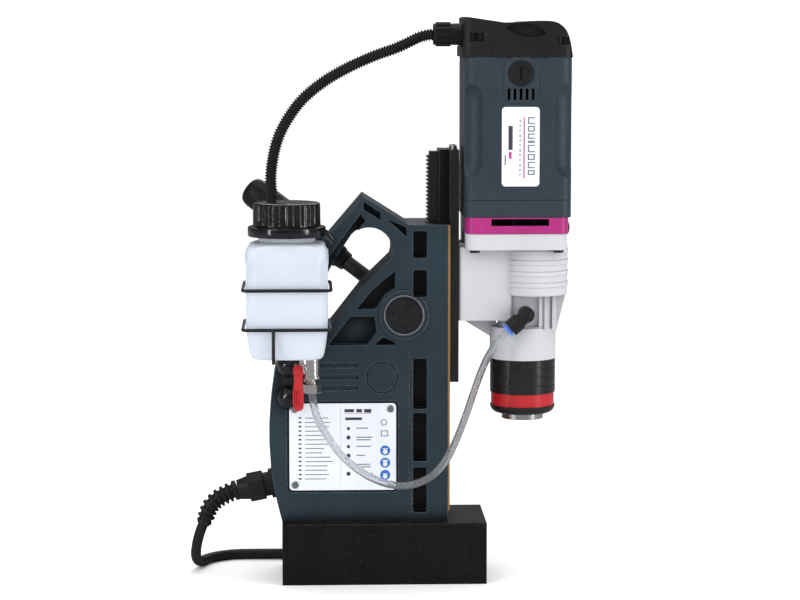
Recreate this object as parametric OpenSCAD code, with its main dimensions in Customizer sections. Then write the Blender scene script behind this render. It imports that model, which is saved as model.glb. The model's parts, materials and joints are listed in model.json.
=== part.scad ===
// Magnetic drill press: an electromagnet base carries a cast frame, and a motor
// head slides on the frame's front face, driven by a rack, a pinion and a
// three-armed capstan. Millimetres. X runs along the base towards the spindle,
// Y away from the side that carries the rating plate, Z up. The origin is the
// centre of the magnet's lower face.

/* [Magnet base] */
// Length of the magnet block along X
base_l = 165; // [162:1:170]
// Width of the magnet block along Y
base_w = 80; // [80:1:84]
// Height of the magnet block
base_h = 50; // [49:0.5:50]
// Outer radius of each coil groove
coil_r = 33; // [28:1:34]

/* [Frame] */
// Y of the frame's near face
frame_near = -30; // [-31:0.5:-30]
// Y of the frame's far face
frame_far = 40; // [40:0.5:41]
// X of the frame's front face
frame_front = 51.5; // [51:0.1:51.5]
// Height of the column's top
frame_top = 290.7; // [288:0.1:292]
// Thickness of the casting's walls
wall = 6; // [5:0.5:7]

/* [Feed] */
// X of the pinion's axis
hub_x = 16; // [16:1:16]
// Z of the pinion's axis
hub_z = 218; // [217:0.5:219]
// Rack and pinion module
rack_m = 1; // [1:1:1]
// Teeth on the pinion
pinion_teeth = 40; // [40:1:40]
// Height of the slide's lower end at rest
slide_bottom = 162.7; // [162:0.1:164]
// Height of the slide's upper end at rest
slide_top = 350; // [346:1:352]
// Reach of a capstan arm from its axis
arm_reach = 160; // [150:1:160]
// Angle by which each arm leans away from the frame
arm_flare = 20; // [18:1:22]

/* [Gearbox] */
// X of the spindle's axis
spindle_x = 114; // [114:1:114]
// X of the motor's axis
motor_x = 108; // [108:1:108]
// Height of the gearbox's top face
gearbox_top = 284; // [284:1:284]
// Gear module in the gearbox
gear_m = 0.8; // [0.8:0.1:0.8]

/* [Chuck] */
// Radius of the tool bore
tool_r = 9.53; // [9.52:0.01:9.55]
// Length of the tool bore
tool_depth = 50; // [45:1:55]
// Outer radius of the quick-change sleeve
sleeve_r = 26.6; // [26:0.1:26.8]

/* [Motor] */
// Left side of the motor housing
motor_left = 63.8; // [63.5:0.1:64.2]
// Right side of the motor housing
motor_right = 149.2; // [148.8:0.1:149.6]
// Half width of the motor housing along Y
motor_half = 42; // [41:0.5:43]
// Height of the join between the housing and its cap
cap_z = 424; // [424:1:424]
// Height of the cap's highest point
motor_top = 456; // [454:1:458]

/* [Coolant] */
// Centre of the bottle along X
bottle_x = -77.5; // [-78:0.1:-77]
// Centre of the bottle along Y
bottle_y = -65.5; // [-66:0.1:-65]
// Width of the bottle's square body
bottle_w = 65; // [63:0.5:65]
// Height of the bottle's lower face
bottle_z = 190; // [190:0.5:191]
// Height of the bottle's shoulder
bottle_top = 281; // [280:0.5:282]
// Outer diameter of the coolant hose
hose_d = 6; // [5:0.5:6]

/* [Cables] */
// Diameter of the mains cable
cable_d = 8.5; // [8:0.5:9]
// Diameter of the corrugated conduit
conduit_d = 10; // [9:0.5:10]

/* [Hidden] */
$fn = 48;
pressure_angle = 25;
backlash = 0.06;
eps = 0.01;

DARK = "#2c3942";
BLACK = "#17181a";
GREY = "#d4d5d8";
STEEL = "#c4c6c9";
BRASS = "#c89244";
COPPER = "#b46a3a";
RED = "#c8252b";
WHITE = "#eef1f6";
MAGENTA = "#b52c82";
BLUE = "#4a86d8";
CLEAR = "#dfe4e8";
GREEN = "#2f8a4a";

// Curves and outlines in the XZ plane
function arc(c, r, a0, a1, n = 12) =
    [for (i = [0:n]) let (a = a0 + (a1 - a0) * i / n) c + r * [cos(a), sin(a)]];
function bow(p, q, r, n = 8) =
    [for (i = [0:n]) let (t = i / n) (1 - t) * (1 - t) * p + 2 * t * (1 - t) * q + t * t * r];

frame_foot_l = -base_l / 2;
apex = [-16.6, 313.4];
arm_knee = [-46, 279];
back_knee = [-86.3, 180];
REAR_EDGE = concat(
    bow(arm_knee, [-78, 236], back_knee),
    bow(back_knee, [-101, 115], [frame_foot_l, base_h]));
SILHOUETTE = concat(
    [[frame_front, base_h], [frame_front, frame_top], [19.3, frame_top], apex], REAR_EDGE);
LOOP = concat(
    arc([-12, 270], 18.7, -20, 140),
    bow([-26.3, 282], [-56, 240], [-64, 200], 6),
    [[-60, 196], [-54, 196], [-41.2, 210.9], [-17.4, 241.4]]);
// What stands behind the loop handle is thinner than the body below the strut
HANDLE_ZONE = [[19.3, 330], [19.3, 270], [5.5, 257.5], [-17.4, 238], [-41.2, 207], [-54, 190],
    [-110, 190], [-110, 330]];
ELECTRIC_BAY = [[-76, 58], [14, 58], [14, 182], [-78, 182], [-84, 150], [-86, 115], [-83, 85]];

arm_far = 30;
pinion_r = pinion_teeth * rack_m / 2;
rack_pitch_x = hub_x + pinion_r;
pinion_half = 8;
journal_r = 15;
bushing_r = 16.2;
boss_r = 20;
fit = 0.05;
slide_plate_x = 53.3;
slide_front = 60.3;
slide_half = 24;
dovetail_x = 44.5;
dovetail_wide = 19;
dovetail_narrow = 14;
rack_half = 7.5;

// Gear train: armature pinion -> idler wheel, idler pinion -> spindle wheel
z_motor = 12;
z_idler_big = 39;
z_idler_small = 14;
z_spindle = 48;
a_first = (z_motor + z_idler_big) * gear_m / 2;
a_second = (z_idler_small + z_spindle) * gear_m / 2;
shaft_gap = spindle_x - motor_x;
idler_dx = (a_first * a_first - a_second * a_second + shaft_gap * shaft_gap) / (2 * shaft_gap);
idler_x = motor_x + idler_dx;
idler_y = sqrt(a_first * a_first - idler_dx * idler_dx);
first_angle = atan2(idler_y, idler_dx);
second_angle = atan2(-idler_y, spindle_x - idler_x);

flange_z = 271;
ring_top = 297;
spindle_r = 12.45;
nose_r = 17;
nose_z = 130;

label_x0 = -76.5;
label_x1 = 9.5;
label_z0 = 76;
label_z1 = 146.7;
label_inset = 4.5;
LABEL_SCREWS = [for (x = [label_x0 + label_inset, label_x1 - label_inset],
    z = [label_z0 + label_inset, label_z1 - label_inset]) [x, z]];

knob_x = -76;
KNOB_Z = [152.6, 178.6];

gland_at = [-89.5, 0, 77];
gland_tilt = 11;
conduit_gland_at = [-83, 7, 200];
cap_gland_at = [60, 0, 442];

valve_at = [-60, -66];
valve_turn = 225;
valve_z = 180;

panel_y = 43;
switch_at = [-60, 150];
start_at = [-58, 112];
stop_at = [-28, 112];
dial_at = [-40, 80];

elbow_at = [spindle_x, -37, 218.5];
elbow_angle = 220;

cable_r = cable_d / 2;
coil_at = [-16, 119.5];
coil_mean = 51;
coil_in = coil_mean - 1.5 * cable_d;
coil_out = coil_mean + 1.5 * cable_d;
floor_gap = 0.1;
plug_at = [-42, 164, 35.2];

// Free routes, laid by hand
MAINS_ROUTE = [[-146.2, 0, 46.4], [-147.6, 0, 43], [-150.3, 0.8, 35.8], [-152.3, 3.1, 28.6],
    [-153.6, 6.8, 21.9], [-154.2, 11.8, 16], [-154, 17.8, 11.1], [-152.9, 24.5, 7.4],
    [-151.2, 31.8, 5.1], [-148.7, 39.1, 4.4], [-145.5, 45.7, 4.4], [-141, 51.5, 4.4],
    [-135.4, 56.3, 4.4], [-128.9, 59.9, 4.4], [-121.9, 62.1, 4.4], [-114.5, 62.8, 4.4],
    [-104, 62.9, 4.4], [-92, 62.5, 4.4], [-78, 61.8, 4.4], [-62, 60.9, 4.4], [-46, 60.2, 4.4],
    [-32, 60, 4.4], [-18, 60, 4.4]];
RELIEF = [[-119.6, 0, 71.2], [-124, 0, 69.8], [-130, 0, 67], [-135.6, 0, 63.6], [-140.2, 0, 59.2],
    [-143.4, 0, 53.8], [-145.4, 0, 48.4], [-147.6, 0, 43]];
TAIL_ROUTE = [[-16, 60, 12.9], [-3.6, 61.2, 13.4], [8.3, 64.9, 15], [19.3, 71, 17.4],
    [28.6, 79.4, 19.8], [36, 89.5, 21.2], [41.1, 101, 21.4], [43.8, 114.3, 21.4],
    [43.4, 127.9, 21.6], [39.8, 139.8, 22.4], [32.8, 150, 24.4], [23.6, 157.7, 27.6],
    [12.6, 162.4, 31.2], [1.5, 164, 34], [-8, 164, 35.1], [-16, 164, 35.2], [-22, 164, 35.2]];
HOSE_ROUTE = [[-58.5, -66, 162], [-58, -66, 158], [-54.5, -66, 142], [-46.5, -66, 126.5], [-34, -66, 109.5],
    [-18.5, -65, 96.5], [-4, -64, 88.8], [10.5, -62.5, 85.3], [24.5, -60.5, 86.5], [38, -58.5, 93],
    [48.8, -56, 105], [57, -53.5, 121], [64.8, -50.5, 140.5], [72.5, -46.5, 162], [78.5, -42.8, 177],
    [84.5, -39.5, 188.4], [91, -37.5, 197.8], [94.8, -37, 202], [98.4, -37, 205.3]];
CONDUIT_ROUTE = [[39.3, 0, 441.8], [30, 0, 439.8], [12, 0, 431.5], [-8, 1, 424.3], [-28, 2, 415.3], [-47.5, 3, 404],
    [-65, 4, 389.5], [-76.8, 5, 373.8], [-84.8, 5.5, 358], [-89.2, 6, 340.5], [-90.7, 6.5, 324],
    [-89.3, 7, 308], [-87, 7, 290], [-85, 7, 270], [-83.6, 7, 250], [-83, 7, 234], [-83, 7, 224.1]];

// ---------------------------------------------------------------- helpers

module block(a, b) {
    translate(a) cube(b - a);
}

// Extrudes an XZ outline from y0 to y1
module along_y(y0, y1) {
    translate([0, y1, 0]) rotate([90, 0, 0]) linear_extrude(y1 - y0) children();
}

module rod_y(x, z, r, y0, y1) {
    translate([x, y1, z]) rotate([90, 0, 0]) cylinder(r = r, h = y1 - y0);
}

module rod_z(x, y, r, z0, z1) {
    translate([x, y, z0]) cylinder(r = r, h = z1 - z0);
}

module ring_z(x, y, r_in, r_out, z0, z1) {
    difference() {
        rod_z(x, y, r_out, z0, z1);
        rod_z(x, y, r_in, z0 - 1, z1 + 1);
    }
}

// Rectangle with round corners, kept as true arcs
module soft_square(x0, x1, y0, y1, r) {
    translate([x0 + r, y0]) square([x1 - x0 - 2 * r, y1 - y0]);
    translate([x0, y0 + r]) square([x1 - x0, y1 - y0 - 2 * r]);
    for (x = [x0 + r, x1 - r], y = [y0 + r, y1 - r]) translate([x, y]) circle(r);
}

module soft_box(x0, x1, y0, y1, z0, z1, r) {
    translate([0, 0, z0]) linear_extrude(z1 - z0) soft_square(x0, x1, y0, y1, r);
}

// Straight rod between two points
module rod(p, q, r) {
    d = q - p;
    len = norm(d);
    translate(p) rotate([0, acos(d.z / len), atan2(d.y, d.x)]) cylinder(r = r, h = len);
}

// Round wire bent sharply at each point; each run reaches past its corners to fill them
module wire(points, r) {
    for (i = [0:len(points) - 2]) let (along = r * unit(points[i + 1] - points[i]) * 0.8)
        rod(points[i] - along, points[i + 1] + along, r);
}

module hexagon(flats, h) {
    cylinder(r = flats / sqrt(3), h = h, $fn = 6);
}

// Sweep of a round section along a route, as one closed polyhedron
function unit(v) = v / norm(v);
function tangents(p) = [for (i = [0:len(p) - 1])
    unit(p[min(i + 1, len(p) - 1)] - p[max(i - 1, 0)])];
function side_of(t, old) = unit(old - (old * t) * t);
function sides(t, i = 0, old = [0.3, 1, 0.2], out = []) =
    i == len(t) ? out : let (s = side_of(t[i], old)) sides(t, i + 1, s, concat(out, [s]));
function spline(p, n) = [for (i = [0:len(p) - 2], k = [0:n - 1]) let (
    a = p[max(i - 1, 0)], b = p[i], c = p[i + 1], d = p[min(i + 2, len(p) - 1)], t = k / n)
    b + 0.5 * t * (c - a + t * (2 * a - 5 * b + 4 * c - d + t * (3 * b - a - 3 * c + d)))];

module tube(route, d, steps = 3, n = 8) {
    p = concat(spline(route, steps), [route[len(route) - 1]]);
    sweep(p, [for (q = p) d / 2], n);
}

// Closed skin round a list of centres, with its own radius at each
module sweep(p, radii, n) {
    t = tangents(p);
    s = sides(t);
    points = [for (i = [0:len(p) - 1], k = [0:n - 1])
        p[i] + radii[i] * (cos(360 * k / n) * s[i] + sin(360 * k / n) * cross(t[i], s[i]))];
    last = n * (len(p) - 1);
    faces = concat(
        [[for (k = [0:n - 1]) k]],
        [for (i = [0:len(p) - 2], k = [0:n - 1]) let (b = i * n, e = (k + 1) % n)
            [b + k, b + n + k, b + n + e, b + e]],
        [[for (k = [n - 1:-1:0]) last + k]]);
    polyhedron(points, faces);
}

// Involute gear: half the tooth's angle at radius r, then the outline
function involute(a) = tan(a) * 180 / PI - a;
function tooth_half(z, m, r) = let (rp = z * m / 2, a = acos(min(1, rp * cos(pressure_angle) / r)))
    90 / z - backlash / rp * 90 / PI + involute(pressure_angle) - involute(a);
function gear_outline(z, m, turn) = let (
    root = z * m / 2 - 1.25 * m, tip = z * m / 2 + 0.95 * m,
    radii = [for (i = [0:3]) root + (tip - root) * i / 3])
    [for (k = [0:z - 1], j = [0:7]) let (
        r = j < 4 ? radii[j] : radii[7 - j],
        a = turn + 360 * k / z + (j < 4 ? -1 : 1) * tooth_half(z, m, r)) r * [cos(a), sin(a)]];

module gear_z(x, y, z0, z1, teeth, turn) {
    translate([x, y, z0]) linear_extrude(z1 - z0) polygon(gear_outline(teeth, gear_m, turn));
}

// ---------------------------------------------------------------- stand

module magnet_housing() {
    edge = 1.5;
    color(BLACK) difference() {
        block([-base_l / 2, -base_w / 2, 0], [base_l / 2, base_w / 2, base_h]);
        for (s = [-1, 1]) {
            ring_z(s * base_l / 4, 0, coil_r - 14, coil_r, -1, base_h - 12);
            translate([0, s * base_w / 2, base_h]) rotate([45, 0, 0])
                cube([base_l + 2, edge, edge], center = true);
        }
        rod_z(-base_l / 4 + coil_r - 8, 0, 4, base_h - 13, base_h + 1);
    }
}

module magnet_coils() {
    color(COPPER) for (s = [-1, 1])
        ring_z(s * base_l / 4, 0, coil_r - 14, coil_r, 1, base_h - 14);
}

// Shallow pockets and ribs cast into the near face
module face_pockets() {
    deep = 9;
    y0 = frame_near - 1;
    y1 = frame_near + deep;
    along_y(y0, y1) {
        polygon([[-16.6, 309.5], [-2.7, 300.3], [-2.7, 294.3], [-16.6, 303.1]]);
        polygon([[1.5, 296], [18, 288.5], [18, 281]]);
        polygon([[-19, 299.5], [-15, 294], [-38, 264], [-46, 250], [-52, 243], [-50, 254], [-43.5, 266]]);
        polygon([[9, 254], [-10, 238], [-22, 223], [-7, 223], [1, 235], [9, 240]]);
        polygon([[-27, 217], [-45, 194], [-14, 194], [-6, 204], [-7.5, 217]]);
        polygon([[-8, 194], [-1, 200.5], [9, 196], [9, 194]]);
    }
    for (z = [[264, 285.7], [232.6, 254.3], [141.7, 182.7], [99, 138.5], [57.2, 94.2]])
        along_y(y0, y1 + 4) soft_square(23.2, 34.4, z[0], z[1], 2);
}

// Lines and recesses that are only skin deep
module face_relief() {
    skin = 1;
    y0 = frame_near - 1;
    y1 = frame_near + skin;
    for (z = [157, 165.8, 175.5]) along_y(y0, y1) soft_square(-52.8, -20.2, z, z + 4, 1.9);
    along_y(y0, y1) translate([-1.7, 167.4]) difference() {
        circle(13);
        circle(11.6);
    }
    along_y(y0, y1) soft_square(label_x0 - 2, label_x1 + 2, label_z0 - 2, label_z1 + 2, 4);
    along_y(y0, y1) translate([20.4, 57]) square([1, 131]);
}

module dovetail_channel() {
    play = 0.4;
    z0 = base_h - 1;
    translate([0, 0, z0]) linear_extrude(frame_top + 2 - z0) {
        polygon([[dovetail_x - play, -dovetail_wide - play], [frame_front + 1, -15.4],
            [frame_front + 1, 15.4], [dovetail_x - play, dovetail_wide + play]]);
        translate([rack_pitch_x - 1.7, -rack_half - 0.8])
            square([dovetail_x - rack_pitch_x + 2, 2 * rack_half + 1.6]);
    }
}

module at_gland(along = 0) {
    translate(gland_at) rotate([0, -90 - gland_tilt, 0]) translate([0, 0, along]) children();
}

module frame_casting() {
    ledge = 12;
    color(DARK) difference() {
        union() {
            along_y(frame_near, arm_far) difference() {
                polygon(SILHOUETTE);
                polygon(LOOP);
            }
            along_y(arm_far - 5, frame_far) difference() {
                polygon(SILHOUETTE);
                polygon(HANDLE_ZONE);
            }
            rod_y(hub_x, hub_z, boss_r, frame_near - 1, frame_near + 2);
            rod_y(hub_x, hub_z, boss_r + 6, frame_far - 2, frame_far + 1);
            at_gland(-6) cylinder(r = 14, h = 6);
            block([-95, -5, conduit_gland_at.z - ledge], [-72, 19, conduit_gland_at.z]);
        }
        along_y(frame_near + wall, frame_far + 1) polygon(ELECTRIC_BAY);
        dovetail_channel();
        rod_y(hub_x, hub_z, pinion_r + 2.5, -13, frame_far + 2);
        rod_y(hub_x, hub_z, bushing_r, frame_near - 2, 0);
        face_pockets();
        face_relief();
        for (p = LABEL_SCREWS) rod_y(p[0], p[1], 1.6, frame_near - 1, frame_near + wall + 1);
        for (z = KNOB_Z) rod_y(knob_x, z, 2.6, frame_near - 1, frame_near + wall + 1);
        at_gland(-16) cylinder(r = 8, h = 20);
        translate(conduit_gland_at - [0, 0, 9]) cylinder(r = 6, h = 12);
        translate(conduit_gland_at) cylinder(r = 12, h = 32);
    }
}

module control_cover() {
    corners = [[-72, 62], [10, 62], [10, 178], [-74, 178]];
    color(BLACK) difference() {
        along_y(frame_far, panel_y) polygon([[-79, 55], [17, 55], [17, 185], [-80, 185], [-87, 150],
            [-89, 115], [-86, 85]]);
        along_y(frame_far - 1, panel_y + 1) {
            translate(switch_at) square([21, 29], center = true);
            translate(start_at) circle(9.5);
            translate(stop_at) circle(9.5);
            translate(dial_at) circle(3.2);
            for (c = corners) translate(c) circle(2.1);
        }
    }
}

module control_board() {
    y0 = 8;
    color(GREEN) block([-68, y0, 72], [6, y0 + 1.6, 162]);
    color(STEEL) block([-60, y0 - 18, 84], [-26, y0, 118]);
    color(BLACK) block([-16, y0 - 12, 84], [0, y0, 128]);
    for (z = [132, 148]) color(COPPER) rod_y(-48, z, 6, y0 - 20, y0);
}

module wear_strips() {
    color(BRASS) for (s = [-1, 1]) block(
        [frame_front, min(s * 16, s * 30), base_h + 9],
        [frame_front + 1.5, max(s * 16, s * 30), frame_top - 0.7]);
}

module pinion_bushings() {
    color(STEEL) {
        difference() {
            rod_y(hub_x, hub_z, bushing_r, frame_near - 1.6, -13);
            rod_y(hub_x, hub_z, journal_r + fit, frame_near - 3, -12);
        }
        difference() {
            union() {
                rod_y(hub_x, hub_z, pinion_r + 2.5, 12, frame_far + 1);
                rod_y(hub_x, hub_z, boss_r + 5, frame_far + 1, frame_far + 4);
            }
            rod_y(hub_x, hub_z, journal_r + fit, 11, frame_far + 5);
        }
    }
}

module label_plate() {
    y0 = frame_near - 0.2;
    color(WHITE) difference() {
        along_y(y0, frame_near + 1) soft_square(label_x0, label_x1, label_z0, label_z1, 3);
        for (p = LABEL_SCREWS) rod_y(p[0], p[1], 1.6, y0 - 1, frame_near + 2);
    }
}

module label_screws() {
    color(STEEL) for (p = LABEL_SCREWS) {
        rod_y(p[0], p[1], 3, frame_near - 1.6, frame_near - 0.2);
        rod_y(p[0], p[1], 1.5, frame_near - 0.3, frame_near + 5);
    }
}

module mains_gland() {
    color(BLACK) at_gland() difference() {
        union() {
            translate([0, 0, -7]) cylinder(r = 7.9, h = 8);
            cylinder(r = 12.2, h = 3);
            translate([0, 0, 2.9]) cylinder(r = 9.9, h = 5.5);
            translate([0, 0, 8]) hexagon(21, 13);
            translate([0, 0, 20.9]) cylinder(r1 = 9.8, r2 = 8, h = 9);
        }
        translate([0, 0, -8]) cylinder(r = cable_r + 0.4, h = 40);
    }
}

// Ribbed sleeve that keeps the cable from kinking at the gland, narrowing to a collar
module bend_relief() {
    centres = spline(RELIEF, 4);
    color(BLACK) sweep(centres, [for (i = [0:len(centres) - 1])
        i < 4 || i > 23 ? 6.2 : (i % 4 == 1 || i % 4 == 2 ? 8.3 - i * 0.04 : 5.6)], 12);
}

module mains_cord() {
    color(BLACK) tube(MAINS_ROUTE, cable_d);
}

module cord_coil() {
    color(BLACK) translate([coil_at.x, coil_at.y, floor_gap])
        ring_z(0, 0, coil_in, coil_out, 0, 2 * cable_d);
}

module cord_tail() {
    color(BLACK) tube(TAIL_ROUTE, cable_d);
}

module mains_plug() {
    color(BLACK) translate(plug_at) rotate([0, 90, 0]) union() {
        translate([0, 0, -19]) cylinder(r = 18, h = 20);
        cylinder(r1 = 18, r2 = 9, h = 16);
        translate([0, 0, 15]) cylinder(r1 = 8, r2 = 5.5, h = 11);
    }
    color(STEEL) for (s = [-1, 1]) translate(plug_at + [-38, s * 9.5, 0]) rotate([0, 90, 0])
        cylinder(r = 2.4, h = 20);
}

// ---------------------------------------------------------------- coolant set

function bottle_side(inset) = bottle_w / 2 - inset;

module bottle_solid(inset, z0, z1, neck_r, neck_top) {
    h = bottle_side(inset);
    soft_box(bottle_x - h, bottle_x + h, bottle_y - h, bottle_y + h, z0, z1, 9);
    rod_z(bottle_x, bottle_y, neck_r, z1 - 1, neck_top);
}

module bottle() {
    thick = 1.6;
    color(CLEAR) difference() {
        union() {
            bottle_solid(0, bottle_z + 6, bottle_top - 6, 22.4, bottle_top + 27);
            soft_box(bottle_x - 28, bottle_x + 28, bottle_y - 28, bottle_y + 28, bottle_z, bottle_top, 9);
        }
        bottle_solid(thick, bottle_z + 6 + thick, bottle_top - 6 - thick, 20.8, bottle_top + 30);
        soft_box(bottle_x - 26, bottle_x + 26, bottle_y - 26, bottle_y + 26, bottle_z + thick,
            bottle_top - thick, 8);
        rod_z(valve_at.x, valve_at.y, 5.5, bottle_z - 1, bottle_z + 4);
    }
}

module cap_liner() {
    color(WHITE) rod_z(bottle_x, bottle_y, 22, bottle_top + 27.1, bottle_top + 28.6);
}

module bottle_cap() {
    cap_z0 = bottle_top + 12.4;
    cap_z1 = bottle_top + 31;
    color(BLACK) difference() {
        union() {
            rod_z(bottle_x, bottle_y, 25.4, cap_z0, cap_z1);
            for (i = [0:29]) translate([bottle_x, bottle_y, cap_z0]) rotate(i * 12)
                translate([25.2, 0, 0]) cylinder(r = 1.4, h = cap_z1 - cap_z0 - 1, $fn = 16);
        }
        rod_z(bottle_x, bottle_y, 22.8, cap_z0 - 1, bottle_top + 29);
    }
}

module cap_strap() {
    z0 = bottle_top + 4;
    z1 = bottle_top + 12;
    tip = [bottle_x + 39, bottle_y + 6];
    color(BLACK) difference() {
        union() {
            rod_z(bottle_x, bottle_y, 30.6, z0, z1);
            translate([0, 0, z0 - 4]) linear_extrude(6) polygon([[bottle_x + 28, bottle_y - 4],
                tip + [0, -4], tip + [2, 0], tip + [0, 3], [bottle_x + 26, bottle_y + 8]]);
        }
        rod_z(bottle_x, bottle_y, 22.8, z0 - 5, z1 + 1);
    }
}

module bottle_bracket() {
    wr = 1.4;
    g = 1.7;
    x0 = bottle_x - bottle_w / 2 - g;
    x1 = bottle_x + bottle_w / 2 + g;
    y0 = bottle_y - bottle_w / 2 - g;
    y1 = frame_near - wr - 0.1;
    plate_top = KNOB_Z[1] + 9;
    leg_x = -88;
    plate_y = frame_near - 2;
    color(BLACK) {
        for (z = [245.5, 214.8])
            wire([[x0, y0, z], [x1, y0, z], [x1, y1, z], [x0, y1, z], [x0, y0, z]], wr);
        wire([[leg_x, y0, 214.8], [leg_x, y0, bottle_z - wr - 0.1], [leg_x, y1 - 1, bottle_z - wr - 0.1],
            [knob_x - 3.5, y1, plate_top - 3]], wr);
        wire([[leg_x + 18, y1, 245.5], [leg_x + 18, y1, 214.8], [knob_x + 3.4, y1, plate_top - 2.6]], wr);
        along_y(plate_y, frame_near) difference() {
            soft_square(knob_x - 7, knob_x + 7, KNOB_Z[0] - 5.5, plate_top, 5);
            for (z = KNOB_Z) translate([knob_x, z]) circle(2.6);
        }
    }
}

module bracket_knobs() {
    color(BLACK) for (z = KNOB_Z) {
        rod_y(knob_x, z, 2.5, frame_near - 6, frame_near + 5);
        rod_y(knob_x, z, 4, frame_near - 5, frame_near - 2);
        translate([knob_x, frame_near - 4.5, z]) rotate([90, 0, 0]) rotate_extrude()
            polygon(concat([[0, 0], [9.6, 0], [9.8, 2]], [for (i = [1:8]) let (a = i * 11.25)
                [9.8 * cos(a), 2 + 9.8 * sin(a)]]));
    }
}

module at_valve() {
    translate([valve_at.x, valve_at.y, valve_z]) rotate(valve_turn) rotate([0, 90, 0]) children();
}

module valve_body() {
    x = valve_at.x;
    y = valve_at.y;
    color(STEEL) difference() {
        union() {
            rod_z(x, y, 4.9, 186, bottle_z + 6);
            rod_z(x, y, 8.4, 174, 189.8);
            rod_z(x, y, 9.2, 172.4, 175);
            rod_z(x, y, 5, 170.2, 173);
            at_valve() cylinder(r = 4.2, h = 11);
        }
        translate([x, y, valve_z]) sphere(5.2);
        rod_z(x, y, 2.5, 166, bottle_z + 7);
        at_valve() cylinder(r = 2.3, h = 12);
    }
}

module valve_ball() {
    color(STEEL) difference() {
        union() {
            translate([valve_at.x, valve_at.y, valve_z]) sphere(5);
            at_valve() cylinder(r = 2.2, h = 14);
        }
        rod_z(valve_at.x, valve_at.y, 2.4, 170, 190);
    }
}

module valve_lever() {
    color(RED) at_valve() translate([0, 0, 11.4]) {
        difference() {
            union() {
                cylinder(r = 4.6, h = 2.4);
                translate([0, -3.4, 0]) cube([27, 6.8, 2.4]);
                translate([27, 0, 0]) cylinder(r = 5.4, h = 3.4);
                translate([12, -4.6, 0]) cube([15, 9.2, 3.4]);
            }
            translate([0, 0, -1]) cylinder(r = 2.2, h = 5);
        }
    }
}

module hose_nut() {
    color(STEEL) translate([valve_at.x + 1.5, valve_at.y, 161]) difference() {
        union() {
            hexagon(13.4, 7);
            translate([0, 0, 6.9]) cylinder(r = 4.2, h = 2.2);
        }
        translate([0, 0, -1]) cylinder(r = hose_d / 2 + 0.1, h = 5);
    }
}

module coolant_hose() {
    color(CLEAR) tube(HOSE_ROUTE, hose_d, 3, 8);
}

// Ribbed cap of a cable gland, standing along +Z
module gland_cap(h) {
    difference() {
        union() {
            cylinder(r = 8.6, h = h);
            for (i = [0:11]) rotate(i * 30) translate([7.9, -1.3, 2]) cube([1.9, 2.6, h - 4]);
        }
        translate([0, 0, -1]) cylinder(r = conduit_d / 2 - 1, h = h + 2);
    }
}

module conduit() {
    color(BLACK) tube(CONDUIT_ROUTE, conduit_d - 0.1, 3, 10);
}

module frame_conduit_gland() {
    color(BLACK) translate(conduit_gland_at) {
        difference() {
            union() {
                translate([0, 0, -8]) cylinder(r = 5.9, h = 9);
                hexagon(20, 6);
            }
            translate([0, 0, -9]) cylinder(r = 4, h = 20);
        }
        translate([0, 0, 6]) gland_cap(18);
    }
}

// ---------------------------------------------------------------- controls

rocker_tilt = 9;

module magnet_switch() {
    // The pivot's stubs stand out at both ends of the rocker
    color(RED) translate([switch_at.x, panel_y - 1, switch_at.y]) union() {
        rotate([rocker_tilt, 0, 0]) rotate([0, -90, 0]) translate([0, 0, -9.5]) linear_extrude(19)
            polygon([[-12, 0], [-12, 4], [0, 2.6], [12, 4], [12, 0], [4, -6], [-4, -6]]);
        rotate([0, 90, 0]) translate([0, 0, -9.9]) cylinder(r = 1.8, h = 19.8);
    }
}

module push_button(at, colour) {
    color(colour) {
        rod_y(at.x, at.y, 9, frame_far - 4, panel_y + 4);
        rod_y(at.x, at.y, 3, frame_far - 14, frame_far - 3.9);
    }
}

module speed_dial() {
    color(BLACK) difference() {
        union() {
            rod_y(dial_at.x, dial_at.y, 13, panel_y + 0.3, panel_y + 12);
            rod_y(dial_at.x, dial_at.y, 3, frame_far - 10, panel_y + 1);
        }
        for (i = [0:11]) translate([dial_at.x, 0, dial_at.y]) rotate([0, i * 30, 0])
            rod_y(14.4, 0, 2.2, panel_y + 3, panel_y + 13);
        block([dial_at.x - 0.8, panel_y + 11, dial_at.y + 3], [dial_at.x + 0.8, panel_y + 13, dial_at.y + 12]);
    }
}

// ---------------------------------------------------------------- slide and head

SLIDE_BOLTS = [for (y = [-16, 16], z = [224, 272]) [y, z]];
MOTOR_SCREWS = [for (x = [72.5, 139.5], y = [-35, 35]) [x, y]];

module dovetail_slide() {
    color(BLACK) difference() {
        translate([0, 0, slide_bottom]) linear_extrude(slide_top - slide_bottom) {
            translate([slide_plate_x, -slide_half])
                square([slide_front - slide_plate_x, 2 * slide_half]);
            polygon([[dovetail_x, -dovetail_wide], [slide_plate_x + eps, -dovetail_narrow],
                [slide_plate_x + eps, dovetail_narrow], [dovetail_x, dovetail_wide]]);
        }
        for (b = SLIDE_BOLTS) translate([slide_plate_x - 1, b[0], b[1]]) rotate([0, 90, 0])
            cylinder(r = 3.2, h = 10);
    }
}

module rack() {
    pitch = PI * rack_m;
    thick = pitch / 4 - backlash / 2;
    slope = tan(pressure_angle);
    up = floor((slide_top - 5 - hub_z) / pitch);
    down = floor((hub_z - slide_bottom - 5) / pitch);
    color(STEEL) along_y(-rack_half, rack_half) union() {
        translate([rack_pitch_x + 1.25, slide_bottom + 2])
            square([dovetail_x - rack_pitch_x - 1.25, slide_top - slide_bottom - 4]);
        for (i = [-down:up]) translate([rack_pitch_x, hub_z + i * pitch]) polygon([
            [1.3, -thick - 1.3 * slope], [1.3, thick + 1.3 * slope],
            [-0.95, thick - 0.95 * slope], [-0.95, -thick + 0.95 * slope]]);
    }
}

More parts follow.
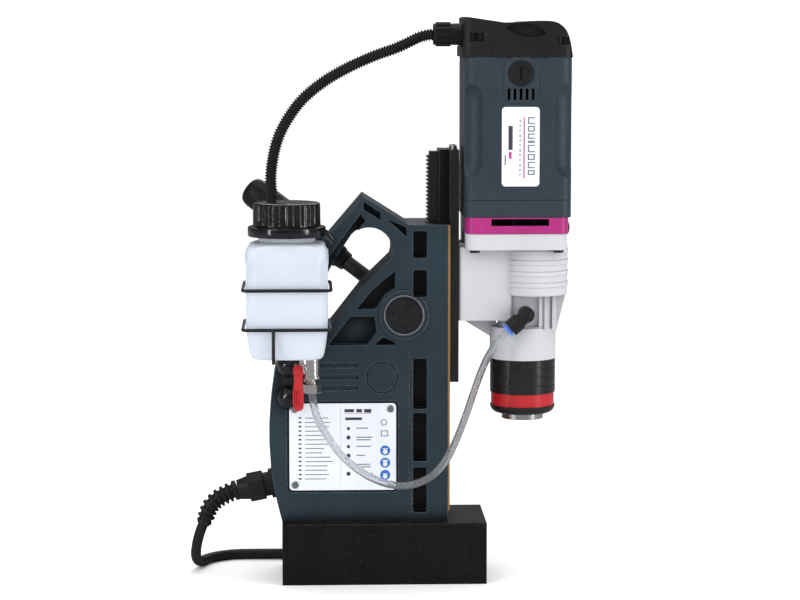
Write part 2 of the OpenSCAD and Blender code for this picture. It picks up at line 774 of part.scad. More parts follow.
module slide_screws() {
    color(STEEL) {
        for (b = SLIDE_BOLTS) translate([slide_plate_x + 0.4, b[0], b[1]]) rotate([0, 90, 0])
            cylinder(r = 3, h = 19);
        for (y = [-9, 9]) rod_z(slide_front - 3.6, y, 2.6, slide_top, slide_top + 3);
    }
}

module gear_room() {
    rod_z(spindle_x, 0, z_spindle * gear_m / 2 + 2, 251, flange_z + 1);
    rod_z(idler_x, idler_y, z_idler_small * gear_m / 2 + 2.4, 248, flange_z + 1);
    rod_z(idler_x, idler_y, z_idler_big * gear_m / 2 + 2, flange_z + 0.5, gearbox_top + 1);
    rod_z(motor_x, 0, 9, flange_z, gearbox_top + 1);
}

// Reduction stage's bulge, drawn out towards both faces of the head
module barrel(r, z0, z1) {
    x = 122.7;
    run = 8;
    for (y = [-run, run]) rod_z(x, y, r, z0, z1);
    block([x - r, -run, z0], [x + r, run, z1]);
}

module gearbox_housing() {
    color(GREY) difference() {
        union() {
            soft_box(65, 146, -motor_half, motor_half, flange_z, gearbox_top, 8);
            barrel(26.6, 233, flange_z + 1);
            for (z = [240, 249, 258, 266]) barrel(27.1, z, z + 3.5);
            soft_box(slide_front, 104, -24, 27, 212.5, flange_z + 1, 3);
            rod_z(118, 0, 24.5, 203, 234);
            along_y(-9, 9) polygon([[120, 234], [148.6, 234], [140.6, 203], [120, 203]]);
            for (s = [-1, 1]) {
                block([129.4, min(s * 12, s * 23.6), 205], [131.4, max(s * 12, s * 23.6), 234]);
                block([136, min(s * 8, s * 19.6), 205], [137.8, max(s * 8, s * 19.6), 234]);
            }
            rod_z(spindle_x, 0, 27, 179.8, 206);
            along_y(-4, 4) polygon([[slide_front + 1.5, 213], [92, 213], [92, 196], [86, 198]]);
        }
        block([103, -32, 207], [125, -20.5, 233]);
        gear_room();
        rod_z(spindle_x, 0, spindle_r + 0.6, 178, 252);
        rod_z(spindle_x, 0, 18, 179, 190);
        rod_z(spindle_x, 0, 18, 238, 252);
        rod_z(idler_x, idler_y, 2.6, 238, 249);
        for (p = MOTOR_SCREWS) rod_z(p[0], p[1], 2.2, flange_z - 1, gearbox_top + 1);
        for (b = SLIDE_BOLTS) translate([slide_front - 1, b[0], b[1]]) rotate([0, 90, 0])
            cylinder(r = 3.1, h = 14);
        rod_y(elbow_at.x, elbow_at.z, 3.6, -24, -spindle_r);
    }
}

module bearing_plate() {
    color(STEEL) difference() {
        soft_box(67.8, 144.2, -motor_half + 2.3, motor_half - 2.3, gearbox_top, gearbox_top + 3, 7);
        rod_z(motor_x, 0, 11, gearbox_top - 1, gearbox_top + 4);
        for (p = MOTOR_SCREWS) rod_z(p[0], p[1], 2.2, gearbox_top - 1, gearbox_top + 4);
        rod_z(idler_x, idler_y, 2.6, gearbox_top - 1, gearbox_top + 2);
    }
}

module fan_ring() {
    color(MAGENTA) difference() {
        soft_box(65, 147, -motor_half - 0.5, motor_half + 0.5, gearbox_top, ring_top, 8);
        soft_box(67.5, 144.5, -motor_half + 2, motor_half - 2, gearbox_top - 1, ring_top + 1, 7);
        for (s = [-1, 1]) block([85, min(s * 38, s * 45), 290.5], [131, max(s * 38, s * 45), 296]);
    }
}

module motor_housing() {
    r = 9;
    color(DARK) difference() {
        union() {
            soft_box(motor_left, motor_right, -motor_half, motor_half, ring_top, cap_z, r);
            for (s = [-1, 1]) along_y(min(s * 40, s * 43), max(s * 40, s * 43))
                soft_square(95, 121.6, 388, cap_z, 8);
        }
        rod_z(motor_x, 0, 34, ring_top - 1, cap_z - 8);
        rod_z(motor_x, 0, 12, cap_z - 9, cap_z + 1);
        for (x = [motor_left, motor_right], s = [-1, 1]) translate([x, s * (motor_half + 5.5), 342]) {
            cylinder(r = 15.5, h = 48);
            for (z = [0, 48]) translate([0, 0, z]) sphere(15.5);
        }
        for (s = [-1, 1]) {
            rod_y(motor_x, 411.5, 7.6, min(s * 30, s * 46), max(s * 30, s * 46));
            for (i = [-2:2]) block([motor_x + 4.8 * i - 1.2, min(s * 33, s * 46), 390.5],
                [motor_x + 4.8 * i + 1.2, max(s * 33, s * 46), 399.5]);
            along_y(min(s * 42.3, s * 46), max(s * 42.3, s * 46)) translate([motor_x, 411.5]) circle(10);
        }
    }
}

CAP_OUTLINE = concat([[61.8, 0], [61.8, 7.5], [63.6, 9.5], [63.6, 30.5], [65.2, 32], [97, 27.2]],
    bow([107, 27.6], [112, 28.6], [118, 28.4], 3),
    bow([129, 28.9], [144.5, 29], [147.8, 11], 6), [[149.9, 0]]);

module top_cap() {
    color(BLACK) difference() {
        union() {
            intersection() {
                translate([0, 0, cap_z]) along_y(-motor_half, motor_half) polygon(CAP_OUTLINE);
                soft_box(61.5, 150.4, -motor_half, motor_half, cap_z - 1, motor_top + 1, 9);
            }
            for (s = [-1, 1]) along_y(min(s * 41, s * 43), max(s * 41, s * 43))
                soft_square(85.4, 132.2, cap_z, cap_z + 10, 4.5);
        }
        rod_z(motor_x, 0, 30, cap_z - 1, cap_z + 20);
        for (s = [-1, 1]) {
            translate([112, 0, cap_z + 21.6]) rotate([0, 8, 0]) intersection() {
                rod_y(0, -20.9, 26.5, min(s * 37, s * 46), max(s * 37, s * 46));
                rod_y(0, 20.9, 26.5, min(s * 37, s * 46), max(s * 37, s * 46));
            }
            rod_z(73, s * 41.5, 5.6, cap_z + 12.5, cap_z + 19.5);
            rod_z(141.5, s * 41.5, 4.6, cap_z + 10, cap_z + 16);
        }
        translate([55, 0, cap_gland_at.z]) rotate([0, 90, 0]) cylinder(r = 6, h = 30);
    }
}

module top_gland() {
    color(BLACK) translate(cap_gland_at) rotate([0, -90, 0]) {
        difference() {
            union() {
                translate([0, 0, -9]) cylinder(r = 5.9, h = 9.2);
                translate([0, 0, -3.5]) cylinder(r = 8.8, h = 7.5);
            }
            translate([0, 0, -10]) cylinder(r = 4, h = 20);
        }
        translate([0, 0, 3.5]) gland_cap(16);
    }
}

module stator() {
    color(STEEL) difference() {
        rod_z(motor_x, 0, 33.8, 322, 372);
        rod_z(motor_x, 0, 22, 321, 373);
    }
    color(COPPER) for (z = [312, 372]) ring_z(motor_x, 0, 23, 32, z, z + 10);
}

module brush_caps() {
    color(BLACK) for (s = [-1, 1]) difference() {
        union() {
            rod_y(motor_x, 411.5, 7.4, min(s * 34, s * 42.9), max(s * 34, s * 42.9));
            rod_y(motor_x, 411.5, 9.8, min(s * 42.4, s * 43.8), max(s * 42.4, s * 43.8));
        }
        rod_y(motor_x, 411.5, 6.9, min(s * 42.9, s * 45), max(s * 42.9, s * 45));
        block([motor_x - 1.2, min(s * 41, s * 44), 406.5], [motor_x + 1.2, max(s * 41, s * 44), 416.5]);
    }
}

module carbon_brushes() {
    color(BLACK) for (s = [-1, 1])
        block([motor_x - 3, min(s * 11.4, s * 33.9), 407.5], [motor_x + 3, max(s * 11.4, s * 33.9), 415.5]);
}

module motor_label() {
    color(WHITE) along_y(-motor_half - 0.4, -motor_half) soft_square(93, 123, 322, 385, 3);
}

module motor_screws() {
    under = flange_z - 2.4;
    color(BLACK) for (p = MOTOR_SCREWS) {
        rod_z(p[0], p[1], 4, under, flange_z);
        rod_z(p[0], p[1], 2, flange_z, ring_top + 8);
    }
}

module elbow_fitting() {
    leg = [cos(elbow_angle), 0, sin(elbow_angle)];
    color(BLACK) difference() {
        union() {
            rod_y(elbow_at.x, elbow_at.z, 5.6, elbow_at.y, -20.5);
            rod_y(elbow_at.x, elbow_at.z, 3.4, -21, -15);
            translate(elbow_at) sphere(6.4);
            rod(elbow_at, elbow_at + 9 * leg, 5.6);
            rod(elbow_at + 7 * leg, elbow_at + 17 * leg, 7);
        }
        rod(elbow_at + 9 * leg, elbow_at + 19 * leg, 4.4);
    }
}

module elbow_collet() {
    leg = [cos(elbow_angle), 0, sin(elbow_angle)];
    color(BLUE) difference() {
        union() {
            rod(elbow_at + 18.6 * leg, elbow_at + 20.2 * leg, 6.2);
            rod(elbow_at + 11 * leg, elbow_at + 19 * leg, 4.3);
        }
        rod(elbow_at + 10 * leg, elbow_at + 21 * leg, hose_d / 2 + 0.3);
    }
}

module gearbox_bearings() {
    color(STEEL) {
        ring_z(spindle_x, 0, spindle_r + fit, 18, 180.2, 189);
        ring_z(spindle_x, 0, spindle_r + fit, 18, 239, 247);
        ring_z(motor_x, 0, 4 + fit, 11, gearbox_top, gearbox_top + 3);
        ring_z(motor_x, 0, 4 + fit, 12, cap_z - 7.8, cap_z - 1);
    }
}

// ---------------------------------------------------------------- turning parts

module armature() {
    color(STEEL) {
        rod_z(motor_x, 0, 4, 280, cap_z + 2);
        gear_z(motor_x, 0, 273, 280.5, z_motor, first_angle);
        rod_z(motor_x, 0, 21, 323, 371);
    }
    color(COPPER) {
        rod_z(motor_x, 0, 18, 314, 380);
        rod_z(motor_x, 0, 11, 402, 416);
    }
}

module cooling_fan() {
    color(BLACK) {
        ring_z(motor_x, 0, 4, 8, 289, 299);
        ring_z(motor_x, 0, 8, 33, 288, 289.6);
        for (i = [0:10]) translate([motor_x, 0, 289.5]) rotate(i * 360 / 11) translate([10, -0.7, 0])
            cube([22, 1.4, 8]);
    }
}

module idler_gear() {
    color(STEEL) {
        rod_z(idler_x, idler_y, 2.5, 239, gearbox_top + 0.8);
        gear_z(idler_x, idler_y, 273.5, 280, z_idler_big, first_angle + 180 + 180 / z_idler_big);
        gear_z(idler_x, idler_y, 250, 273.6, z_idler_small, second_angle);
    }
}

module spindle() {
    color(STEEL) difference() {
        union() {
            rod_z(spindle_x, 0, spindle_r, 178, 262);
            rod_z(spindle_x, 0, nose_r, nose_z, 179);
        }
        rod_z(spindle_x, 0, tool_r, nose_z - 1, nose_z + tool_depth);
        rod_z(spindle_x, 0, 3, nose_z, 222);
    }
}

module spindle_gear() {
    color(STEEL) difference() {
        gear_z(spindle_x, 0, 252, 262, z_spindle, second_angle + 180 + 180 / z_spindle);
        rod_z(spindle_x, 0, spindle_r, 251, 263);
    }
}

module chuck_sleeve() {
    r = sleeve_r;
    color(BLACK) difference() {
        rod_z(spindle_x, 0, r, 152, 179.4);
        rod_z(spindle_x, 0, nose_r + fit, 151, 180);
        for (z = [158, 165.4, 172.8]) ring_z(spindle_x, 0, r - 0.7, r + 1, z, z + 1.2);
    }
}

module chuck_ring() {
    color(RED) ring_z(spindle_x, 0, nose_r + fit, 25.7, 141.4, 152);
}

module chuck_collar() {
    color(BLACK) translate([spindle_x, 0, 0]) rotate_extrude() polygon(concat(
        [[nose_r + fit, 141.4], [nose_r + fit, 134.8], [20.4, 134.8]],
        arc([20.2, 141.2], 6.4, -85, 0, 6), [[sleeve_r, 141.4]]));
}

// ---------------------------------------------------------------- capstan

ARM_ANGLES = [24, 144, 264];
arm_y = 62;

// Puts children with +Z along one arm, starting on the hub's axis
module at_arm(a) {
    translate([hub_x, arm_y, hub_z]) rotate([0, 90 - a, 0]) rotate([-arm_flare, 0, 0]) children();
}

module pinion_shaft() {
    color(STEEL) union() {
        along_y(-pinion_half, pinion_half) translate([hub_x, hub_z])
            polygon(gear_outline(pinion_teeth, rack_m, 180 / pinion_teeth));
        rod_y(hub_x, hub_z, journal_r, frame_near - 0.6, -pinion_half);
        rod_y(hub_x, hub_z, journal_r, pinion_half, frame_far + 4.3);
        rod_y(hub_x, hub_z, 10, frame_far + 4, 70);
    }
    color(BLACK) rod_y(hub_x, hub_z, journal_r, frame_near - 1.8, frame_near - 0.6);
}

module capstan_hub() {
    color(BLACK) difference() {
        union() {
            rod_y(hub_x, hub_z, 19, frame_far + 5, 74);
            for (a = ARM_ANGLES) at_arm(a) cylinder(r = 6.2, h = 60);
        }
        rod_y(hub_x, hub_z, 10, frame_far + 4, 70);
    }
}

module handle_grips() {
    reach = arm_reach / cos(arm_flare);
    color(BLACK) for (a = ARM_ANGLES) at_arm(a) difference() {
        rotate_extrude() polygon(concat([[0, 58], [7.6, 58], [9.6, 60], [11, 80], [13.2, 108]],
            arc([7.2, reach - 9], 6, 0, 80, 5), [[0, reach - 2.5]]));
        translate([0, 0, 57]) cylinder(r = 6.2, h = 3);
    }
}

magnet_housing();
magnet_coils();
frame_casting();
control_cover();
control_board();
wear_strips();
pinion_bushings();
label_plate();
label_screws();
mains_gland();
bend_relief();
mains_cord();
cord_coil();
cord_tail();
mains_plug();
bottle();
cap_liner();
bottle_cap();
cap_strap();
bottle_bracket();
bracket_knobs();
valve_body();
valve_ball();
valve_lever();
hose_nut();
coolant_hose();
conduit();
frame_conduit_gland();
magnet_switch();
push_button(start_at, GREEN);  // start_button
push_button(stop_at, RED);  // stop_button
speed_dial();
dovetail_slide();
rack();
slide_screws();
gearbox_housing();
bearing_plate();
fan_ring();
motor_housing();
top_cap();
top_gland();
stator();
brush_caps();
carbon_brushes();
motor_label();
motor_screws();
elbow_fitting();
elbow_collet();
gearbox_bearings();
armature();
cooling_fan();
idler_gear();
spindle();
spindle_gear();
chuck_sleeve();
chuck_ring();
chuck_collar();
pinion_shaft();
capstan_hub();
handle_grips();
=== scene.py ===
"""Dresses a magnetic drill press.

Its machined parts get their finishes, and what is moulded or soft gets a finer skin. Every new piece is in
metres in the same frame, and rides on one of its bodies or, where it runs between two, on none.
"""

from __future__ import annotations

import json
import logging
import math
from collections.abc import Callable, Iterable, Sequence
from dataclasses import dataclass, field
from enum import Enum

import bmesh
import bpy
from mathutils import Matrix, Vector

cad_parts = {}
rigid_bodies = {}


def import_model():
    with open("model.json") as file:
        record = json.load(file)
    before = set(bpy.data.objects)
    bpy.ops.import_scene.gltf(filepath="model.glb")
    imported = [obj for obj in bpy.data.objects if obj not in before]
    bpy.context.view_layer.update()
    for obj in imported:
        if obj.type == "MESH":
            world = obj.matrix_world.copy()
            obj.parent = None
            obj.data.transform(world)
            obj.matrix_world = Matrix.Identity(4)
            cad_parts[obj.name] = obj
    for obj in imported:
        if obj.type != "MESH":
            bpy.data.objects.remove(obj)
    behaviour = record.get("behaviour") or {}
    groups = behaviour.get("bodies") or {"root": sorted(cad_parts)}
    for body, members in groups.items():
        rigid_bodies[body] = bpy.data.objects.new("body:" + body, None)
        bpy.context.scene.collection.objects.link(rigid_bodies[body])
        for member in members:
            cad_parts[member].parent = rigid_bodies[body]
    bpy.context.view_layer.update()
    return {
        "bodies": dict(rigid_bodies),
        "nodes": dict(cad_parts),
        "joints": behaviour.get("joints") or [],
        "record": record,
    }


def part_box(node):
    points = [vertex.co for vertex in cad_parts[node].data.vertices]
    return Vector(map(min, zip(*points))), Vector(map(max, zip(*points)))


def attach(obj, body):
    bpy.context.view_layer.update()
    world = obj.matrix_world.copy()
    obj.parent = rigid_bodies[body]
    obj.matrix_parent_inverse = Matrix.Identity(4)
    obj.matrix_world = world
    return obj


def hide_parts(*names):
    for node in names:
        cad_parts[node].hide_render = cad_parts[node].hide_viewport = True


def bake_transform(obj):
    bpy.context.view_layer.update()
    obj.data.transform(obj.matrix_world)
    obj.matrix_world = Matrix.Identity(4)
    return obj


log = logging.getLogger("drill_press")

MM = 0.001

Colour = tuple[float, float, float]
Triple = tuple[float, float, float]
Pair = tuple[float, float]


class Body(Enum):
    """The moving bodies that new pieces ride on."""

    STAND = "stand"
    HEAD = "head"
    CAPSTAN = "capstan"
    LEVER = "lever"
    CAP = "cap"


# ---------------------------------------------------------------- shader groups


class Bench:
    """Adds nodes to one shader tree and joins them."""

    def __init__(self, tree: bpy.types.NodeTree) -> None:
        """Keeps the tree that the nodes go into.

        Args:
            tree: the material's or the group's node tree.
        """
        self.tree = tree

    def add(self, kind: str, inputs: dict | None = None, **settings: object) -> bpy.types.Node:
        """Adds one node.

        Args:
            kind: the node's type name.
            inputs: a value, or an output to join, for each named or numbered input.
            settings: the node's own properties.

        Returns:
            The new node.
        """
        node = self.tree.nodes.new(kind)
        for name, value in settings.items():
            setattr(node, name, value)
        for key, value in (inputs or {}).items():
            self.put(node.inputs[key], value)
        return node

    def put(self, socket: bpy.types.NodeSocket, value: object) -> None:
        """Joins an output to a socket, or sets the socket's value."""
        if isinstance(value, bpy.types.NodeSocket):
            self.tree.links.new(value, socket)
        else:
            socket.default_value = value

    def place(self, group: bpy.types.NodeTree, inputs: dict) -> bpy.types.Node:
        """Places a shader group and sets its inputs."""
        return self.add("ShaderNodeGroup", inputs, node_tree=group)

    def math(self, operation: str, a: object, b: object = 0.0) -> bpy.types.NodeSocket:
        """Adds a Math node and returns its value."""
        return self.add("ShaderNodeMath", {0: a, 1: b}, operation=operation).outputs[0]

    def spread(self, value: object, low: Pair, high: Pair) -> bpy.types.NodeSocket:
        """Maps a value from the range low to the range high."""
        names = ("Value", "From Min", "From Max", "To Min", "To Max")
        return self.add("ShaderNodeMapRange", dict(zip(names, (value, *low, *high)))).outputs["Result"]

    def mix(self, factor: object, a: object, b: object) -> bpy.types.NodeSocket:
        """Mixes two colours."""
        node = self.add("ShaderNodeMix", data_type="RGBA")
        for index, value in ((0, factor), (6, a), (7, b)):
            self.put(node.inputs[index], value)
        return node.outputs[2]


def open_group(name: str, inputs: dict[str, float], outputs: Sequence[str]) -> tuple[Bench, object, object]:
    """Starts a shader group with named sockets.

    Args:
        name: the group's name.
        inputs: each input's name and default value.
        outputs: the outputs' names; one called Normal is a vector.

    Returns:
        The bench, the group's input node and its output node.
    """
    tree = bpy.data.node_groups.new(name, "ShaderNodeTree")
    for socket, value in inputs.items():
        made = tree.interface.new_socket(name=socket, in_out="INPUT", socket_type="NodeSocketFloat")
        made.default_value = value
    for socket in outputs:
        kind = "NodeSocketVector" if socket == "Normal" else "NodeSocketFloat"
        tree.interface.new_socket(name=socket, in_out="OUTPUT", socket_type=kind)
    bench = Bench(tree)
    return bench, bench.add("NodeGroupInput"), bench.add("NodeGroupOutput")


COAT_ROUGHNESS = 0.12
SCATTER_COLOURS: Colour = (0.9, 1.0, 1.1)
SCATTER_DEPTH = 0.006
DUST_COLOUR: Colour = (0.4, 0.39, 0.37)
# near-black colour painted into pockets and inner corners as shade
PAINTED_SHADE_COLOUR: Colour = (0.002, 0.003, 0.004)
POCKET_REACH = 0.014


class Effects:
    """The shader groups that several finishes share, each built once."""

    def __init__(self) -> None:
        """Builds every group."""
        self.grain = self._grain()
        self.edge = self._edge()
        self.brush = self._brush()
        self.dust = self._dust()
        self.hollow = self._hollow()

    @staticmethod
    def _noise(bench: Bench, size: object, detail: float) -> bpy.types.NodeSocket:
        """Noise in the object's own space whose lumps are about size metres wide."""
        place = bench.add("ShaderNodeTexCoord").outputs["Object"]
        scale = bench.math("DIVIDE", 1.0, size)
        noise = bench.add("ShaderNodeTexNoise", {"Vector": place, "Scale": scale, "Detail": detail})
        return noise.outputs["Fac"]

    def _grain(self) -> bpy.types.NodeTree:
        """Powder coat or spark texture: fine height, sparse flecks and slow clouds."""
        bench, start, end = open_group("Grain", {"Size": 0.0006}, ["Height", "Fleck", "Cloud"])
        size = start.outputs["Size"]
        fleck = self._noise(bench, bench.math("MULTIPLY", size, 1.7), 1.0)
        bench.put(end.inputs["Height"], self._noise(bench, size, 3.0))
        bench.put(end.inputs["Fleck"], bench.spread(fleck, (0.63, 0.72), (0.0, 1.0)))
        bench.put(end.inputs["Cloud"], self._noise(bench, 0.045, 2.0))
        return bench.tree

    def _edge(self) -> bpy.types.NodeTree:
        """Rounded look of a sharp edge, and a broken mask for a painted highlight along the edge, partly
        rubbed wear.
        """
        bench, start, end = open_group("SoftEdge", {"Radius": 0.0006}, ["Mask", "Normal"])
        soft = bench.add("ShaderNodeBevel", {"Radius": start.outputs["Radius"]}, samples=6).outputs["Normal"]
        flat = bench.add("ShaderNodeNewGeometry").outputs["Normal"]
        likeness = bench.add("ShaderNodeVectorMath", {0: soft, 1: flat}, operation="DOT_PRODUCT")
        turned = bench.spread(likeness.outputs["Value"], (0.985, 0.86), (0.0, 1.0))
        broken = bench.spread(self._noise(bench, 0.0021, 4.0), (0.42, 0.62), (0.25, 1.0))
        bench.put(end.inputs["Mask"], bench.math("MULTIPLY", turned, broken))
        bench.put(end.inputs["Normal"], soft)
        return bench.tree

    @staticmethod
    def _brush() -> bpy.types.NodeTree:
        """Fine tool marks, stretched by the three factors along X, Y and Z."""
        bench, start, end = open_group("ToolMarks", {"X": 900.0, "Y": 900.0, "Z": 900.0}, ["Lines"])
        place = bench.add("ShaderNodeTexCoord").outputs["Object"]
        scale = bench.add("ShaderNodeCombineXYZ", {axis: start.outputs[axis] for axis in "XYZ"}).outputs[0]
        drawn = bench.add("ShaderNodeVectorMath", {0: place, 1: scale}, operation="MULTIPLY").outputs[0]
        noise = bench.add("ShaderNodeTexNoise", {"Vector": drawn, "Scale": 1.0, "Detail": 3.0})
        bench.put(end.inputs["Lines"], noise.outputs["Fac"])
        return bench.tree

    def _dust(self) -> bpy.types.NodeTree:
        """Mask of what settles on faces that look up."""
        bench, start, end = open_group("Dust", {"Amount": 0.1}, ["Mask"])
        normal = bench.add("ShaderNodeNewGeometry").outputs["Normal"]
        upward = bench.add("ShaderNodeSeparateXYZ", {0: normal}).outputs["Z"]
        settled = bench.spread(upward, (0.55, 1.0), (0.0, 1.0))
        patchy = bench.spread(self._noise(bench, 0.007, 5.0), (0.35, 0.7), (0.0, 1.0))
        share = bench.math("MULTIPLY", bench.math("MULTIPLY", settled, patchy), start.outputs["Amount"])
        bench.put(end.inputs["Mask"], share)
        return bench.tree

    @staticmethod
    def _hollow() -> bpy.types.NodeTree:
        """Mask of pocket floors and inner corners, for painted shade where little light gets in."""
        bench, start, end = open_group("Hollow", {"Reach": POCKET_REACH}, ["Mask"])
        open_sky = bench.add("ShaderNodeAmbientOcclusion", {"Distance": start.outputs["Reach"]}, samples=8)
        bench.put(end.inputs["Mask"], bench.spread(open_sky.outputs["AO"], (0.95, 0.55), (0.0, 1.0)))
        return bench.tree


class Marks(Enum):
    """How a tool left a metal surface: factors along X, Y and Z for the ToolMarks group."""

    NONE = (0.0, 0.0, 0.0)
    ALONG_Z = (2600.0, 2600.0, 60.0)
    ROUND_Z = (30.0, 30.0, 3600.0)


def opaque(colour: Colour) -> tuple[float, float, float, float]:
    """A colour with full alpha."""
    return (*colour, 1.0)


@dataclass(frozen=True)
class Finish:
    """A solid finish: paint, moulded plastic, rubber or metal."""

    name: str
    colour: Colour
    roughness: float
    metallic: float = 0.0
    coat: float = 0.0
    grain: float = 0.0005
    depth: float = 0.00002
    fleck: float = 0.0
    fleck_colour: Colour = (0.3, 0.32, 0.34)
    cloud: float = 0.12
    edge: float = 0.0006
    # painted highlight along sharp edges, partly standing for rubbed wear, and its colour
    wear_and_highlight: float = 0.0
    wear_and_highlight_colour: Colour = (0.32, 0.34, 0.36)
    marks: Marks = Marks.NONE
    dust: float = 0.0
    # strength of the painted shade in pockets and inner corners
    recess_shade: float = 0.0
    specular: float = 0.35
    subsurface: float = 0.0

    def make(self, effects: Effects) -> bpy.types.Material:
        """Builds the material.

        Args:
            effects: the shared shader groups.

        Returns:
            The new material.
        """
        material = bpy.data.materials.new(self.name)
        material.use_nodes = True
        bench = Bench(material.node_tree)
        shader = material.node_tree.nodes["Principled BSDF"]
        shader.inputs["Metallic"].default_value = self.metallic
        shader.inputs["Coat Weight"].default_value = self.coat
        shader.inputs["Coat Roughness"].default_value = COAT_ROUGHNESS
        shader.inputs["Specular IOR Level"].default_value = self.specular
        if self.subsurface:
            shader.inputs["Subsurface Weight"].default_value = self.subsurface
            shader.inputs["Subsurface Radius"].default_value = SCATTER_COLOURS
            shader.inputs["Subsurface Scale"].default_value = SCATTER_DEPTH
        grain = bench.place(effects.grain, {"Size": self.grain})
        bench.put(shader.inputs["Base Color"], self._tint(bench, effects, grain))
        bench.put(shader.inputs["Roughness"], self._gloss(bench, grain))
        self._relief(bench, effects, shader, grain)
        return material

    def _tint(self, bench: Bench, effects: Effects, grain: bpy.types.Node) -> bpy.types.NodeSocket:
        """Colour with clouds, flecks, dust, painted shade in pockets and a painted edge highlight with some
        wear laid over it.
        """
        deep = opaque(tuple(c * (1 - self.cloud) for c in self.colour))
        bright = opaque(tuple(min(1.0, c * (1 + self.cloud)) for c in self.colour))
        cloud = bench.spread(grain.outputs["Cloud"], (0.3, 0.7), (0.0, 1.0))
        tint = bench.mix(cloud, deep, bright)
        if self.fleck:
            share = bench.math("MULTIPLY", grain.outputs["Fleck"], self.fleck)
            tint = bench.mix(share, tint, opaque(self.fleck_colour))
        if self.dust:
            mask = bench.place(effects.dust, {"Amount": self.dust}).outputs["Mask"]
            tint = bench.mix(mask, tint, opaque(DUST_COLOUR))
        # painted shade: darkens pockets and inner corners where ambient occlusion finds them enclosed
        if self.recess_shade:
            mask = bench.place(effects.hollow, {"Reach": POCKET_REACH}).outputs["Mask"]
            tint = bench.mix(bench.math("MULTIPLY", mask, self.recess_shade), tint, opaque(PAINTED_SHADE_COLOUR))
        # painted edge highlight, partly rubbed wear, mixed into the colour
        if self.wear_and_highlight:
            mask = bench.place(effects.edge, {"Radius": self.edge}).outputs["Mask"]
            tint = bench.mix(bench.math("MULTIPLY", mask, self.wear_and_highlight), tint, opaque(self.wear_and_highlight_colour))
        return tint

    def _gloss(self, bench: Bench, grain: bpy.types.Node) -> bpy.types.NodeSocket:
        """Roughness that drifts a little with the clouds and the grain."""
        both = bench.math("ADD", grain.outputs["Cloud"], bench.math("MULTIPLY", grain.outputs["Height"], 0.5))
        return bench.spread(both, (0.45, 1.05), (self.roughness * 0.85, min(1.0, self.roughness * 1.15)))

    def _relief(self, bench: Bench, effects: Effects, shader: bpy.types.Node, grain: bpy.types.Node) -> None:
        """Grain or tool marks as a bump over softened edges."""
        height = grain.outputs["Height"]
        if self.marks is not Marks.NONE:
            factors = dict(zip("XYZ", self.marks.value))
            height = bench.place(effects.brush, factors).outputs["Lines"]
        bump = bench.add("ShaderNodeBump", {"Strength": 0.6, "Distance": self.depth, "Height": height})
        if self.edge:
            soft = bench.place(effects.edge, {"Radius": self.edge}).outputs["Normal"]
            bench.put(bump.inputs["Normal"], soft)
        bench.put(shader.inputs["Normal"], bump.outputs["Normal"])


@dataclass(frozen=True)
class ClearFinish:
    """Clear soft plastic: light passes through, and its tint and gloss drift a little."""

    name: str
    colour: Colour
    roughness: float

    def make(self, effects: Effects) -> bpy.types.Material:
        """Builds the material from the shared groups."""
        material = bpy.data.materials.new(self.name)
        material.use_nodes = True
        bench = Bench(material.node_tree)
        shader = material.node_tree.nodes["Principled BSDF"]
        shader.inputs["Transmission Weight"].default_value = 0.92
        shader.inputs["IOR"].default_value = 1.4
        grain = bench.place(effects.grain, {"Size": 0.004})
        tint = bench.spread(grain.outputs["Cloud"], (0.2, 0.8), (0.0, 1.0))
        pale = opaque(tuple(c * 0.96 for c in self.colour))
        bench.put(shader.inputs["Base Color"], bench.mix(tint, pale, opaque(self.colour)))
        gloss = bench.spread(grain.outputs["Cloud"], (0.3, 0.7), (self.roughness * 0.6, self.roughness * 1.4))
        bench.put(shader.inputs["Roughness"], gloss)
        return material


BLACK_METAL: Colour = (0.012, 0.012, 0.013)
BLACK_MOULD: Colour = (0.011, 0.011, 0.012)
PRINT_GREY: Colour = (0.16, 0.17, 0.2)
